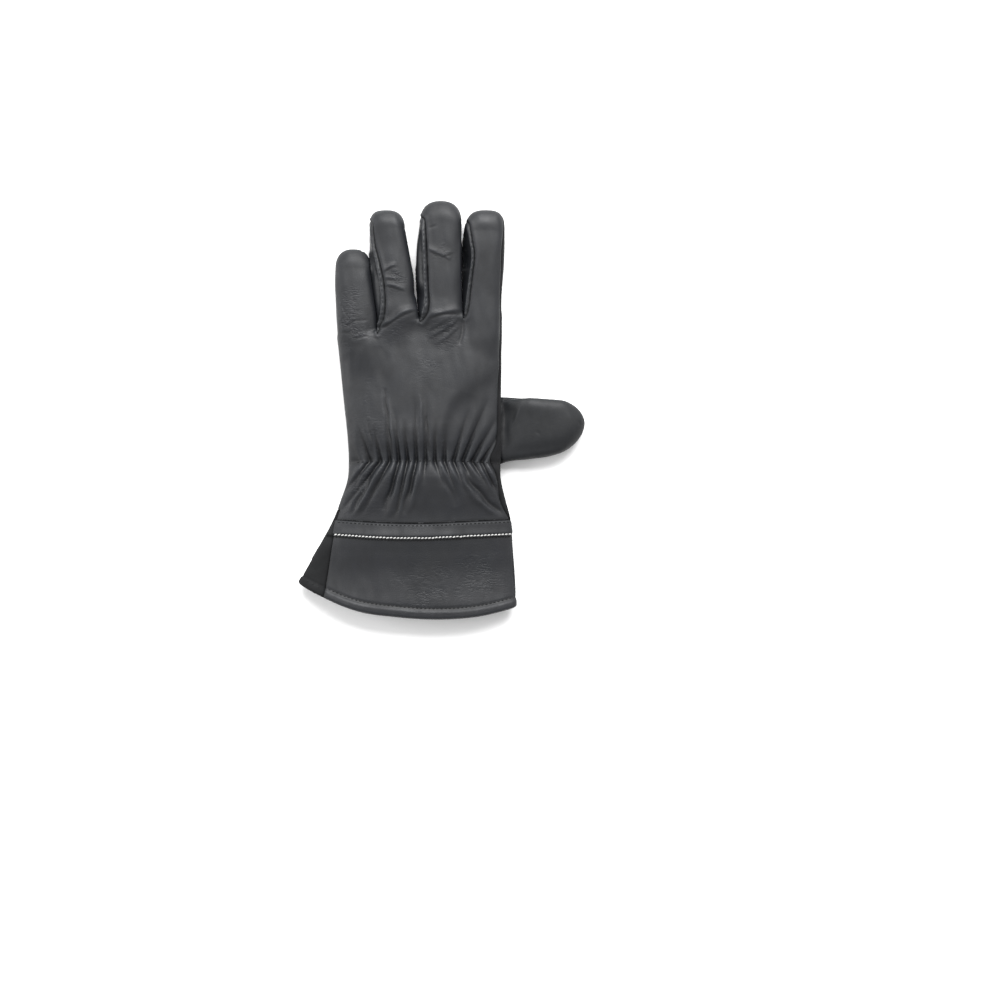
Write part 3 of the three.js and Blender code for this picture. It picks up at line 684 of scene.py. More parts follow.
def glove_form(step):
    """Distance from the glove's outer surface on a grid, and how much farther the thumb is than the hand."""
    axes = [np.arange(low, high, step) for low, high in zip(GRID_LOW, GRID_HIGH)]
    x, y, z = np.ix_(*axes)
    hand = as_distance(soft_section(x, z, *np.moveaxis(HAND_AT(y), -1, 0), HAND_ROUNDNESS), step)
    hand = soft_max(hand, y - CROTCH_Y(x), CROTCH_BLEND)
    form = hand.copy()
    left_room, right_room, low_room = FINGER_ROOM
    for name, rows in FINGER_ROWS.items():
        low, left, right = rows[0][:3]
        part = np.s_[
            slice(*np.searchsorted(axes[0], (left - left_room, right + right_room))),
            np.searchsorted(axes[1], low - low_room):, :,
        ]
        fx, fy = x[part[0]], y[:, part[1]]
        tip_start, tip = rows[-1][0], FINGER_TIPS[name]
        place = tube_section(fx, z, fy, FINGER_AT[name](fy), tip_start, tip, TIP_CORNERS[name])
        finger = as_distance(place, step)
        finger = finger + np.maximum(FINGER_FADE - fy, 0) ** 2 * FINGER_FADE_CURVE
        form[part] = np.minimum(form[part], soft_min(hand[part], finger, BLEND))
    thumb = np.full_like(form, FAR)
    part = np.s_[np.searchsorted(axes[0], THUMB_ROWS[0][0]):, slice(*np.searchsorted(axes[1], THUMB_SPAN)), :]
    tx, ty = x[part[0]], y[:, part[1]]
    place = tube_section(ty, z, tx, THUMB_AT(tx), THUMB_TIP_START, THUMB_TIP, THUMB_CORNERS)
    thumb[part] = as_distance(place, step)
    form = np.minimum(form, thumb)
    form = soft_max(form, -z, FLOOR_BLEND)
    return form, thumb - hand


def surface_of(field, low, step):
    """The surface where a field on a grid is zero: its points and four-sided faces."""
    inside = field < 0
    shape = np.array(field.shape) - 1
    count = sum(
        inside[i:i + shape[0], j:j + shape[1], k:k + shape[2]].astype(np.int8) for i, j, k in CORNERS
    )
    mixed = (count > 0) & (count < 8)
    cells = np.argwhere(mixed)
    number = np.full(mixed.shape, -1, np.int32)
    number[mixed] = np.arange(len(cells))
    values = np.stack([field[tuple((cells + corner).T)] for corner in CORNERS], axis=1)
    total, hits = np.zeros((len(cells), 3)), np.zeros(len(cells))
    for a, b in CELL_EDGES:
        crossed = (values[:, a] < 0) != (values[:, b] < 0)
        share = values[crossed, a] / (values[crossed, a] - values[crossed, b])
        total[crossed] += CORNERS[a] + share[:, None] * (CORNERS[b] - CORNERS[a])
        hits[crossed] += 1
    points = np.array(low) + (cells + total / hits[:, None]) * step
    faces = []
    for axis in range(3):
        first, second = (axis + 1) % 3, (axis + 2) % 3
        lower, upper = [slice(None)] * 3, [slice(None)] * 3
        lower[axis], upper[axis] = slice(0, -1), slice(1, None)
        for solid_below in (True, False):
            here = inside[tuple(lower)] & ~inside[tuple(upper)]
            if not solid_below:
                here = ~inside[tuple(lower)] & inside[tuple(upper)]
            at = np.argwhere(here)
            keep = (at[:, first] > 0) & (at[:, second] > 0)
            keep &= (at[:, first] < shape[first]) & (at[:, second] < shape[second])
            at = at[keep]
            back_one, back_two = np.eye(3, dtype=int)[first], np.eye(3, dtype=int)[second]
            ring = [at - back_one - back_two, at - back_two, at, at - back_one]
            if not solid_below:
                ring.reverse()
            faces.append(np.stack([number[tuple(cell.T)] for cell in ring], axis=1))
    return points, np.concatenate(faces)


def grid_reader(fields, low, step):
    """Reads fields on a grid at any point."""
    def read(points):
        place = (points - np.array(low)) / step
        limit = np.array(fields[0].shape) - 2
        cell = np.clip(place.astype(int), 0, limit)
        share = np.clip(place - cell, 0, 1)
        total = np.zeros((len(points), len(fields)))
        for corner in CORNERS:
            weight = np.prod(np.where(corner, share, 1 - share), axis=1)
            at = tuple((cell + corner).T)
            total += weight[:, None] * np.stack([field[at] for field in fields], axis=1)
        return total
    return read


def edges_of(triangles):
    """The three edges of every triangle, as pairs of points."""
    return np.concatenate([triangles[:, [0, 1]], triangles[:, [1, 2]], triangles[:, [2, 0]]])


def unit_rows(rows):
    """Every row at a length of one."""
    return rows / np.maximum(np.linalg.norm(rows, axis=1), TINY)[:, None]


def neighbours_of(triangles, count):
    """A function that averages any values over the neighbours of each point."""
    pairs = np.unique(np.sort(edges_of(triangles), axis=1), axis=0)
    start, end = np.concatenate([pairs, pairs[:, ::-1]]).T
    number = np.maximum(np.bincount(start, minlength=count), 1)

    def average(values):
        if values.ndim == 1:
            return np.bincount(start, values[end], count) / number
        columns = [np.bincount(start, values[end, i], count) for i in range(values.shape[1])]
        return np.stack(columns, axis=1) / number[:, None]

    return average


def crossings(points, values, edges):
    """The edges that cross zero, how far along each it does so, and the point where it does."""
    start, end = values[edges[:, 0]], values[edges[:, 1]]
    crossed = start * end < 0
    edges, share = edges[crossed], start[crossed] / (start[crossed] - end[crossed])
    return edges, share, points[edges[:, 0]] + share[:, None] * (points[edges[:, 1]] - points[edges[:, 0]])


def cut_along(points, triangles, locked, function):
    """Cuts the triangles along the line where a function of the points is zero."""
    values = function(points)
    edges = np.unique(np.sort(edges_of(triangles), axis=1), axis=0)
    near_edges, share, crossing = crossings(points, values, edges)
    closest = np.full(len(points), SNAP_SHARE)
    target = points.copy()
    for side, away in ((0, share), (1, 1 - share)):
        order = np.argsort(-away, kind="stable")
        corner, away, place = near_edges[order, side], away[order], crossing[order]
        close = away < closest[corner]
        corner, away, place = corner[close], away[close], place[close]
        target[corner], closest[corner] = place, away
    snapped = closest < SNAP_SHARE
    movable = snapped & ~locked
    points = np.where(movable[:, None], target, points)
    values = np.where(movable | (snapped & (closest < SNAP_SHARE / 2)), 0, values)
    locked = locked | (values == 0)
    cut_edges, _, middle = crossings(points, values, edges)
    keys = cut_edges[:, 0].astype(np.int64) * len(points) + cut_edges[:, 1]

    def middle_of(a, b):
        wanted = np.minimum(a, b).astype(np.int64) * len(points) + np.maximum(a, b)
        found = np.minimum(np.searchsorted(keys, wanted), max(len(keys) - 1, 0))
        return np.where(keys[found] == wanted, found + len(points), -1) if len(keys) else np.full(len(a), -1)

    sides = np.stack([middle_of(triangles[:, i], triangles[:, (i + 1) % 3]) for i in range(3)], axis=1)
    hits = (sides >= 0).sum(axis=1)
    made = [triangles[hits == 0]]
    for turn in range(3):
        a, b, c = (triangles[:, (turn + i) % 3] for i in range(3))
        ab, bc, ca = (sides[:, (turn + i) % 3] for i in range(3))
        two = (hits == 2) & (bc < 0)
        made += [
            np.stack([a[two], ab[two], ca[two]], axis=1),
            np.stack([ab[two], b[two], c[two]], axis=1),
            np.stack([ab[two], c[two], ca[two]], axis=1),
        ]
        one = (hits == 1) & (bc >= 0)
        made += [np.stack([a[one], b[one], bc[one]], axis=1), np.stack([a[one], bc[one], c[one]], axis=1)]
    points = np.vstack([points, middle])
    locked = np.concatenate([locked, np.ones(len(middle), bool)])
    return points, np.concatenate(made), locked


# ---------------------------------------------------------------- Which panel a place belongs to
def seam_height(x, y):
    """Height of the seam that runs around the glove, between its back and its palm side."""
    left, right = np.moveaxis(SEAM_AT(y), -1, 0)
    return left + (right - left) * (x - SEAM_LEFT_X) / (SEAM_RIGHT_X - SEAM_LEFT_X)


def side_wall_space(name, x, y, z):
    """The space of a side wall: around the gap, and up to the seam on the finger to its right."""
    rows = SIDE_WALL_ROWS[name]
    gap, seam = np.moveaxis(SIDE_WALL_AT[name](y), -1, 0)
    high = np.maximum(SIDE_WALL_HIGH, seam_height(x, y))
    low = np.maximum(SIDE_WALL_LOW - z, x - seam)
    near = np.maximum.reduce([gap - SIDE_WALL_REACH - x, z - high, low])
    far = np.maximum(gap - x, low)
    return soft_max(np.minimum(near, far), np.maximum(rows[0][0] - y, y - rows[-1][0]), SIDE_WALL_ROUND)


def finger_front_space(left_wall, right_wall, x, y):
    """The space of a finger's front: between two gaps and beyond the seam at the finger roots."""
    left, right = SIDE_WALL_AT[left_wall](y)[..., 0], SIDE_WALL_AT[right_wall](y)[..., 0]
    return np.maximum.reduce([left - x, x - right, FINGER_SEAM_Y(x) - y])


def panel_spaces(read_thumb):
    """The space of each panel, negative inside, in the order in which a place is given to them."""
    def by_axes(function):
        return lambda points: function(*points.T)

    def thumb_space(points):
        x, y, z = points.T
        oval = np.maximum(outline_distance(x, y, OVAL_OUTLINE), z - OVAL_HEIGHT)
        return np.minimum(oval, np.maximum(read_thumb(points)[:, 0], THUMB_ROOT_X - x))

    def patch_space(points):
        return np.maximum(thumb_space(points), outline_distance(points[:, 0], points[:, 1], PATCH_OUTLINE))

    def gusset_space(x, y, z):
        above = z - seam_height(x, y)
        upper = np.maximum(outline_distance(x, y, GUSSET_BACK), -above)
        lower = np.maximum(outline_distance(x, y, GUSSET_PALM), above)
        return np.minimum(upper, lower)

    def on_back(line):
        return lambda x, y, z: np.maximum(seam_height(x, y) - z, y - line(x))

    little_ring, ring_middle, middle_index = SIDE_WALL_ROWS
    return {
        "thumb_patch": patch_space,
        "thumb": thumb_space,
        "cuff_gusset": by_axes(gusset_space),
        **{name: by_axes(functools.partial(side_wall_space, name)) for name in SIDE_WALL_ROWS},
        "cuff_back": by_axes(on_back(BAND_LOW_BACK_Y)),
        "cuff_band_back": by_axes(on_back(BAND_TOP_BACK_Y)),
        "back_panel": by_axes(lambda x, y, z: seam_height(x, y) - z),
        "cuff_palm": by_axes(lambda x, y, z: y - BAND_LOW_PALM_Y(x)),
        "cuff_band_palm": by_axes(lambda x, y, z: y - BAND_TOP_PALM_Y(x)),
        "ring_finger_front": by_axes(lambda x, y, z: finger_front_space(little_ring, ring_middle, x, y)),
        "middle_finger_front": by_axes(lambda x, y, z: finger_front_space(ring_middle, middle_index, x, y)),
    }


def seam_kind(first, second):
    """How the seam between two panels is sewn."""
    pair = {first, second}
    walls = pair & set(SIDE_WALL_ROWS)
    if walls and "back_panel" in pair:
        return "wall_top" if "fourchette_ring_middle" in walls else "wall_soft"
    if walls:
        return "wall_low"
    if "cuff_gusset" in pair:
        return "gusset"
    if pair & {"thumb", "thumb_patch"}:
        return "thumb"
    if pair == {"cuff_band_back", "back_panel"} or pair == {"cuff_band_palm", "palm_panel"}:
        return "band_top"
    if pair == {"cuff_band_back", "cuff_back"} or pair == {"cuff_band_palm", "cuff_palm"}:
        return "band_low"
    return "side" if pair & {"back_panel", "cuff_back", "cuff_band_back"} else "under"


# ---------------------------------------------------------------- Folds, seams and hems
def stroke_away(x, y, start_x, start_y, end_x, end_y, bow, wobble):
    """How far each place is from a bowed and wavering stroke, and how far along the stroke it is."""
    run_x, run_y = end_x - start_x, end_y - start_y
    length = math.hypot(run_x, run_y)
    along = ((x - start_x) * run_x + (y - start_y) * run_y) / length**2
    aside = ((x - start_x) * -run_y + (y - start_y) * run_x) / length
    share = np.clip(along, 0, 1)
    aside -= bow * 4 * share * (1 - share) + wobble * np.sin(length * share / WOBBLE_WAVE + start_x)
    return np.hypot(aside, (along - share) * length), share, aside


def fold_relief(x, y, rows, wobble=FOLD_WOBBLE):
    """Folds along strokes. Each has its own width to the left and to the right of the stroke."""
    total = np.zeros(len(x))
    for x0, y0, x1, y1, bow, height, left_width, right_width in rows:
        away, share, aside = stroke_away(x, y, x0, y0, x1, y1, bow, wobble * min(left_width, right_width))
        width = np.where(aside > 0, left_width, right_width)
        taper = np.clip(4 * share * (1 - share), 0, 1) ** FOLD_TAPER
        total += height * np.exp(-((away / width) ** 2)) * taper
    return total


def step_relief(x, y, rows):
    """Soft steps along strokes, which fade away on both sides."""
    total = np.zeros(len(x))
    for x0, y0, x1, y1, bow, height, width, reach in rows:
        away, share, aside = stroke_away(x, y, x0, y0, x1, y1, bow, 0)
        taper = np.clip(4 * share * (1 - share), 0, 1)
        total += height * np.tanh(aside / width) * np.exp(-((away / reach) ** 2)) * taper
    return total


def fan_relief(x, y, rows, spread, sharpness):
    """Strokes that fan out from the elastic, widening and fading on their way up and down."""
    total = np.zeros(len(x))
    for x0, y0, up_x, up_y, low_x, low_y, height, width in rows:
        for end_x, end_y in ((up_x, up_y), (low_x, low_y)):
            end_x, end_y = x0 + (end_x - x0) * GATHER_LONGER, y0 + (end_y - y0) * GATHER_LONGER
            away, share, _ = stroke_away(x, y, x0, y0, end_x, end_y, 0, 0)
            near = np.exp(-((away / (width * spread * (1 + FAN_WIDENING * share))) ** sharpness))
            total = np.maximum(total, height * near * (1 - share) ** FAN_FADE)
    return total


def gather_relief(x, y):
    """Gathers that stand up on both sides of the elastic, with sharp valleys between them."""
    crests = CREST_SHARE * fan_relief(x, y, GATHERS, CREST_SPREAD, CREST_SHARPNESS)
    rows = np.array(GATHERS)
    between = (rows[1:] + rows[:-1]) / 2
    between[:, 7] = VALLEY_WIDTH
    valleys = VALLEY_DEPTH * fan_relief(x, y, between, 1, VALLEY_SHARPNESS)
    pinch = np.exp(-(((y - ELASTIC_Y(x)) / ELASTIC_WIDTH) ** 2))
    return crests - valleys - ELASTIC_PINCH * pinch * (1 - PINCH_SPARED * np.clip(crests, 0, 1))


def press_fingers(points, is_wall):
    """Closes the gaps where fingers lie against each other and makes their side walls fall steeply."""
    points = points.copy()
    for name, (left_finger, right_finger, parting, fall_end, fall, edge) in PRESSED_FINGERS.items():
        x, y, z = points.T
        gap, seam = SIDE_WALL_AT[name](y).T
        first = SIDE_WALL_ROWS[name][0][0]
        left, right, top = FINGER_AT[right_finger](y).T
        across = np.clip(np.abs(seam - (left + right) / 2) / ((right - left) / 2), 0, 1)
        seam_z = top / 2 * (1 + (1 - across**FINGER_ROUNDNESS) ** (1 / FINGER_ROUNDNESS))
        aside = seam - x - edge * step_near(first, EDGE_GROWS, y)
        target = np.maximum(seam_z - fall * aside, WALL_LOWEST)
        share = step_near(first, FALL_BEGINS, y) * step_near(fall_end, FALL_ENDS, y)
        falls = is_wall & (x > gap - WALL_MARGIN) & (aside > 0) & (z > target)
        points[:, 2] = np.where(falls, z + (target - z) * share, z)

        away = x - gap
        reach = np.abs(away)
        half_gap = np.where(away > 0, left - gap, gap - FINGER_AT[left_finger](y)[:, 1])
        half_gap = np.maximum(half_gap, PRESSED_GAP)
        near = reach * PRESSED_GAP / half_gap
        far = reach - (half_gap - PRESSED_GAP) * np.exp(-((reach - half_gap) / PRESSED_REACH) ** 2)
        pressed = np.sign(away) * np.where(reach < half_gap, near, far)
        share = step_near(first, PRESS_BEGINS, y) * step_near(parting, PRESS_ENDS, y)
        share *= reach < PRESSED_LIMIT
        points[:, 0] = x + (pressed - away) * share
    return points


def wrinkle_zone(x, y):
    """How wrinkled the leather is, from 0 to 1."""
    total = np.zeros(len(x))
    for zone_x, zone_y, radius, strength in WRINKLE_ZONES:
        total = np.maximum(total, strength * np.exp(-(np.hypot(x - zone_x, y - zone_y) / radius) ** 2))
    return total


def hem_profile(beyond_hem):
    """Roll of the turned hem, pressed down where it is stitched, and how far its edge is rounded off."""
    share = np.clip(beyond_hem / HEM_DEPTH, 0, 1)
    roll = np.sqrt(np.clip(1 - (2 * share - HEM_MIDDLE) ** 4, 0, 1))
    edge = np.clip(1 - beyond_hem / HEM_EDGE, 0, 1)
    stitch_dip = np.exp(-(((beyond_hem - HEM_DEPTH) / HEM_DIP_WIDTH) ** 2))
    return roll * smooth_step(*HEM_FALL, share) - HEM_DIP * stitch_dip, 1 - np.sqrt(1 - edge**2)


def band_relief(x, y, top_line, low_line):
    """The band along the cuff: a turned strip, soft between its two rows of stitches."""
    share = (top_line(x) - y) / (top_line(x) - low_line(x))
    share = share / (1 + BAND_OVERLAP)
    on_band = np.clip(1 - (2 * share - 1) ** 4, 0, 1)
    lift = BAND_LIFT * smooth_step(*BAND_BEGINS, share) + BAND_TILT * np.clip(share, 0, 1)
    return BAND_PUFF * on_band + lift * smooth_step(*BAND_ENDS, share)


def broad_profile(x, y):
    """Broad rise and fall of the back and of the cuff."""
    left_low, left_high, right_high, right_low = PROFILE_MIDDLE
    at_left, in_middle, at_right = BACK_PROFILE_AT(y).T
    profile = at_left + (in_middle - at_left) * smooth_step(left_low, left_high, x)
    return profile + (at_right - in_middle) * smooth_step(right_high, right_low, x)


def leather_relief(points, facing_up, facing_down):
    """Height of the folds, gathers, swells and wrinkles, and how wrinkled each place is."""
    x, y = points[:, 0], points[:, 1]
    on_hand = smooth_step(*ON_HAND_Y, y) * smooth_step(*ON_HAND_X, x)
    on_thumb = facing_up * smooth_step(*ON_THUMB_X, x)
    on_thumb = on_thumb * smooth_step(*ON_THUMB_LOW, y) * smooth_step(*ON_THUMB_HIGH, y)
    folds = gather_relief(x, y) + step_relief(x, y, BACK_STEPS) + FOLD_SHARE * fold_relief(x, y, BACK_FOLDS)
    relief = facing_up * on_hand * folds
    relief += on_thumb * fold_relief(x, y, THUMB_FOLDS, 0)
    relief += facing_down * fold_relief(x, y, PALM_FOLDS)
    stretched = points * SWELL_STRETCH
    swell_seed, ripple_seed, wrinkle_seed, patch_seed = SEEDS
    swell = SWELL_HEIGHT * noise(stretched, SWELL_SIZE, swell_seed)
    swell = swell + RIPPLE_HEIGHT * noise(stretched, RIPPLE_SIZE, ripple_seed)
    wrinkle = wrinkle_zone(x, y) * (facing_up + WRINKLES_BELOW * facing_down)
    fine = noise(points, WRINKLE_SIZE, wrinkle_seed) * noise(points, WRINKLE_PATCH_SIZE, patch_seed)
    relief += (facing_up + SWELL_BELOW * facing_down) * swell + WRINKLE_HEIGHT * wrinkle * fine
    return relief, wrinkle


def ridge_share(x, y, names, point_label, is_wall):
    """Strength of the ridge beside each seam. On a side wall it puckers, and it ends before the fingertip."""
    quick, slow, broad = PUCKER_WAVES
    waver = np.sin(y * quick + PUCKER_WAVER * np.sin(y * slow))
    pucker = 1 + PUCKER_DEPTH * waver + PUCKER_DEPTH * np.sin(y * broad)
    past_gap = np.zeros(len(x))
    for name, rows in SIDE_WALL_ROWS.items():
        on_wall = (point_label == names.index(name)) & (x > SIDE_WALL_AT[name](y)[:, 0])
        past_gap += on_wall * step_near(rows[-1][0], RIDGE_ENDS, y)
    return np.where(is_wall, pucker * past_gap, RIDGE_OFF_WALLS)


def split_faces(points, quads):
    """Two triangles for every four-sided face, split along its shorter diagonal."""
    one_way = np.linalg.norm(points[quads[:, 0]] - points[quads[:, 2]], axis=1)
    other_way = np.linalg.norm(points[quads[:, 1]] - points[quads[:, 3]], axis=1)
    first = np.where((one_way <= other_way)[:, None], [0, 1, 2], [0, 1, 3])
    second = np.where((one_way <= other_way)[:, None], [0, 2, 3], [1, 2, 3])
    return np.concatenate([np.take_along_axis(quads, pick, 1) for pick in (first, second)])


def cut_into_panels(points, triangles, spaces):
    """Cuts the surface along the hem and every seam, and tells which panel each triangle belongs to."""
    locked = np.zeros(len(points), bool)
    for space in [lambda p: HEM_Y(p[:, 0]) - p[:, 1], *spaces.values()]:
        points, triangles, locked = cut_along(points, triangles, locked, space)
    centre = points[triangles].mean(axis=1)
    kept = centre[:, 1] > HEM_Y(centre[:, 0])
    triangles, centre = triangles[kept], centre[kept]
    label = np.full(len(triangles), len(spaces))
    for index, space in reversed(list(enumerate(spaces.values()))):
        label[space(centre) < 0] = index
    used, triangles = np.unique(triangles, return_inverse=True)
    return points[used], triangles.reshape(-1, 3), label


@functools.cache
def glove_skin(step, wall, fold_depth, hem_roll):
    """The whole skin of the glove: outer and inner points, triangles and the panel of each."""
    form, thumb_or_hand = glove_form(step)
    points, quads = surface_of(form, GRID_LOW, step)
    read_form = grid_reader([form, *np.gradient(form, step)], GRID_LOW, step)
    read_thumb = grid_reader([thumb_or_hand], GRID_LOW, step)
    triangles = split_faces(points, quads)
    average = neighbours_of(triangles, len(points))
    for _ in range(SMOOTH_PASSES):
        points = (points + average(points)) / 2
        value = read_form(points)
        slope = value[:, 1:]
        points = points - slope * (value[:, 0] / np.maximum((slope**2).sum(axis=1), LEAST_SQUARE))[:, None]

    spaces = panel_spaces(read_thumb)
    names = [*spaces, "palm_panel"]
    points, triangles, label = cut_into_panels(points, triangles, spaces)
    normal = read_form(points)[:, 1:]
    average = neighbours_of(triangles, len(points))
    normal = unit_rows(normal + average(normal))

    x, y = points[:, 0], points[:, 1]
    facing_up = smooth_step(*FACING, normal[:, 2])
    facing_down = smooth_step(*FACING, -normal[:, 2])
    beside_thumb = smooth_step(*BESIDE_THUMB_X, x) * smooth_step(*BESIDE_THUMB_Y, y)
    lowered = smooth_step(*PROFILE_FACING, normal[:, 2]) * (1 - beside_thumb)
    form = points.copy()
    form[:, 2] = points[:, 2] + fold_depth * lowered * broad_profile(x, y)
    form[:, 2] = np.maximum(form[:, 2], np.minimum(points[:, 2], SIDE_FOOT))

    relief, wrinkle = leather_relief(points, facing_up, facing_down)
    relief *= fold_depth
    for top_line, low_line, side in (
        (BAND_TOP_BACK_Y, BAND_LOW_BACK_Y, normal[:, 2]),
        (BAND_TOP_PALM_Y, BAND_LOW_PALM_Y, -normal[:, 2]),
    ):
        relief += smooth_step(*BAND_FACING, side) * band_relief(x, y, top_line, low_line)
    beyond_hem = y - HEM_Y(x)
    roll, edge = hem_profile(beyond_hem)
    sides = facing_up + facing_down * HEM_ROLL_BELOW + HEM_ROLL_BESIDE * (1 - facing_up - facing_down)
    relief += hem_roll * roll * sides
    hem_edge = edge * wall * HEM_OUTER_ROUND

    seam_away, shape, at_gusset = nearest_seams(points, triangles, label, names)
    relief -= shape[:, 0] * np.exp(-((seam_away / shape[:, 1]) ** 2))
    ridge = shape[:, 2] * np.exp(-(((seam_away - RIDGE_AT) / RIDGE_WIDTH) ** 2))
    drop = np.where(at_gusset, shape[:, 3] * np.exp(-seam_away / DROP_REACH) * facing_up, 0)
    point_label = np.full(len(points), -1)
    point_label[triangles.ravel()] = np.repeat(label, 3)
    is_wall = np.isin(point_label, [names.index(name) for name in SIDE_WALL_ROWS])
    relief += ridge * ridge_share(x, y, names, point_label, is_wall)

    outer = form + normal * (relief - hem_edge)[:, None]
    outer = press_fingers(outer, is_wall)
    outer[:, 2] = np.maximum(outer[:, 2], 0)
    thick = wall * (1 + HEM_THICKER * smooth_step(HEM_DEPTH, HEM_DEPTH - HEM_FOLD, beyond_hem))
    inner = form - normal * (thick - np.minimum(relief, 0) - hem_edge * HEM_INNER_ROUND)[:, None]
    fallen = np.maximum(form[:, 2] + normal[:, 2] * relief - outer[:, 2], 0)
    inner[:, 2] = np.maximum(inner[:, 2] - fallen, np.minimum(inner[:, 2], wall))

    # Marks for the finish: crests, which are painted lighter, valleys, which get painted shade, and nearness
    # to a seam, which gets painted shade
    curve = ((average(outer) - outer) * normal).sum(axis=1)
    curve = (curve + average(curve)) / 2
    on_gusset = point_label == names.index("cuff_gusset")
    return {
        "names": names, "label": label, "triangles": triangles,
        "outer": outer, "inner": inner, "normal": normal,
        "crest": np.clip(-curve / FULL_BEND, 0, 1), "valley": np.clip(curve / FULL_BEND, 0, 1),
        "seam": np.exp(-((seam_away / SEAM_SHADE_WIDTH) ** 2)), "wrinkle": np.clip(wrinkle, 0, 1),
        "drop": drop, "sewn": outer - normal * np.where(on_gusset, drop, 0)[:, None],
    }


def seams_between(triangles, label):
    """Points on the seams between panels, and the two panels that meet there."""
    edges = np.sort(edges_of(triangles), axis=1)
    owner = np.tile(label, 3)
    order = np.lexsort((edges[:, 1], edges[:, 0]))
    edges, owner = edges[order], owner[order]
    same = (edges[1:] == edges[:-1]).all(axis=1) & (owner[1:] != owner[:-1])
    ends = edges[:-1][same]
    pairs = np.stack([owner[:-1][same], owner[1:][same]], axis=1)
    return ends.ravel(), np.repeat(pairs, 2, axis=0)


def nearest_seams(points, triangles, label, names):
    """For each point: how far the nearest seam is, how that seam is shaped and whether it is the gore's."""
    seam_points, seam_pairs = seams_between(triangles, label)
    tree = kdtree.KDTree(len(seam_points))
    for index, point in enumerate(seam_points):
        tree.insert(points[point], index)
    tree.balance()
    found = [tree.find(point) for point in points]
    seam_of = np.array([item[1] for item in found])
    away = np.array([item[2] for item in found])
    kinds = [seam_kind(names[a], names[b]) for a, b in seam_pairs]
    shape = np.array([SEAM_KINDS[kind] for kind in kinds])[seam_of]
    return away, shape, np.array([kind == "gusset" for kind in kinds])[seam_of]


def current_skin(context):
    sizes = context.scene.glove_sizes
    return glove_skin(
        round(sizes.point_spacing / MM, 4), round(sizes.wall / MM, 4),
        round(sizes.fold_depth, 4), round(sizes.hem_roll / MM, 4),
    )


# ---------------------------------------------------------------- Meshes
RIM_RINGS = 2
RIM_BULGE = 0.35
RIM_AT_HEM = 2.0


def panel_mesh(skin, name):
    """A leather panel of real thickness: outer face, inner face and a rounded rim."""
    index = skin["names"].index(name)
    triangles = skin["triangles"][skin["label"] == index]
    used, local = np.unique(triangles, return_inverse=True)
    local = local.reshape(-1, 3)
    outer, inner = skin["outer"][used].copy(), skin["inner"][used].copy()
    normal = skin["normal"][used]
    if name == "cuff_gusset":
        outer -= normal * skin["drop"][used][:, None]
        inner -= normal * skin["drop"][used][:, None]
        outer[:, 2] = np.maximum(outer[:, 2], 0)
    edges = edges_of(local)
    count = len(used)
    keys, back_keys = edges[:, 0] * count + edges[:, 1], edges[:, 1] * count + edges[:, 0]
    rim = edges[~np.isin(keys, back_keys)]
    outward = np.zeros((count, 3))
    run = outer[rim[:, 1]] - outer[rim[:, 0]]
    away = unit_rows(np.cross(run, normal[rim[:, 0]]))
    for side in (0, 1):
        for axis in range(3):
            outward[:, axis] += np.bincount(rim[:, side], away[:, axis], count)
    outward = unit_rows(outward)
    at_hem = np.abs(outer[:, 1] - HEM_Y(outer[:, 0])) < RIM_AT_HEM
    on_rim = np.zeros(count, bool)
    on_rim[rim.ravel()] = True
    pull = np.where(on_rim & ~at_hem, SEAM_CLEARANCE, 0)[:, None]
    outer -= outward * pull
    inner -= outward * pull

    rim_points = np.unique(rim)
    place = np.full(count, -1)
    place[rim_points] = np.arange(len(rim_points))
    layers, levels = [], [rim]
    for ring in range(1, RIM_RINGS + 1):
        share = ring / (RIM_RINGS + 1)
        bulge = np.where(at_hem[rim_points], RIM_BULGE * 4 * share * (1 - share), 0)[:, None]
        layer = outer[rim_points] * (1 - share) + inner[rim_points] * share + outward[rim_points] * bulge
        layer[:, 2] = np.maximum(layer[:, 2], 0)
        levels.append(place[rim] + 2 * count + len(layers) * len(rim_points))
        layers.append(layer)
    levels.append(rim + count)
    walls = [
        np.stack([high[:, 1], high[:, 0], low[:, 0], low[:, 1]], axis=1)
        for high, low in zip(levels, levels[1:])
    ]
    points = np.vstack([outer, inner, *layers])
    faces = [*local.tolist(), *(local[:, ::-1] + count).tolist(), *np.concatenate(walls).tolist()]
    finish = np.repeat([0, 1, 0], [len(local), len(local), len(walls) * len(rim)])
    marks = {}
    for mark in ("crest", "valley", "seam", "wrinkle"):
        value = skin[mark][used]
        marks[mark] = np.concatenate([value, np.zeros(count), np.tile(value[rim_points], RIM_RINGS)])
    return points, faces, finish, marks


def make_mesh(name, points, faces, finish=None, marks=None):
    mesh = bpy.data.meshes.new(name)
    mesh.from_pydata((points * MM).tolist(), [], faces)
    mesh.polygons.foreach_set("use_smooth", [True] * len(mesh.polygons))
    if finish is not None:
        mesh.polygons.foreach_set("material_index", finish)
    for mark, values in (marks or {}).items():
        attribute = mesh.attributes.new(mark, "FLOAT", "POINT")
        attribute.data.foreach_set("value", values.astype(np.float32))
    mesh.update()
    piece = bpy.data.objects.new(name, mesh)
    bpy.context.scene.collection.objects.link(piece)
    return piece


def make_panels(context, names):
    skin = current_skin(context)
    for name in names:
        points, faces, finish, marks = panel_mesh(skin, name)
        if not len(faces):
            raise RuntimeError(f"{name} has no surface")
        piece = make_mesh(name + "_leather", points, faces, finish, marks)
        slot = PANEL_SLOTS[name]
        piece.data.materials.append(leather_material(context, slot))
        piece.data.materials.append(suede_material(context))
        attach(piece, BODY)
        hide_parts(name)
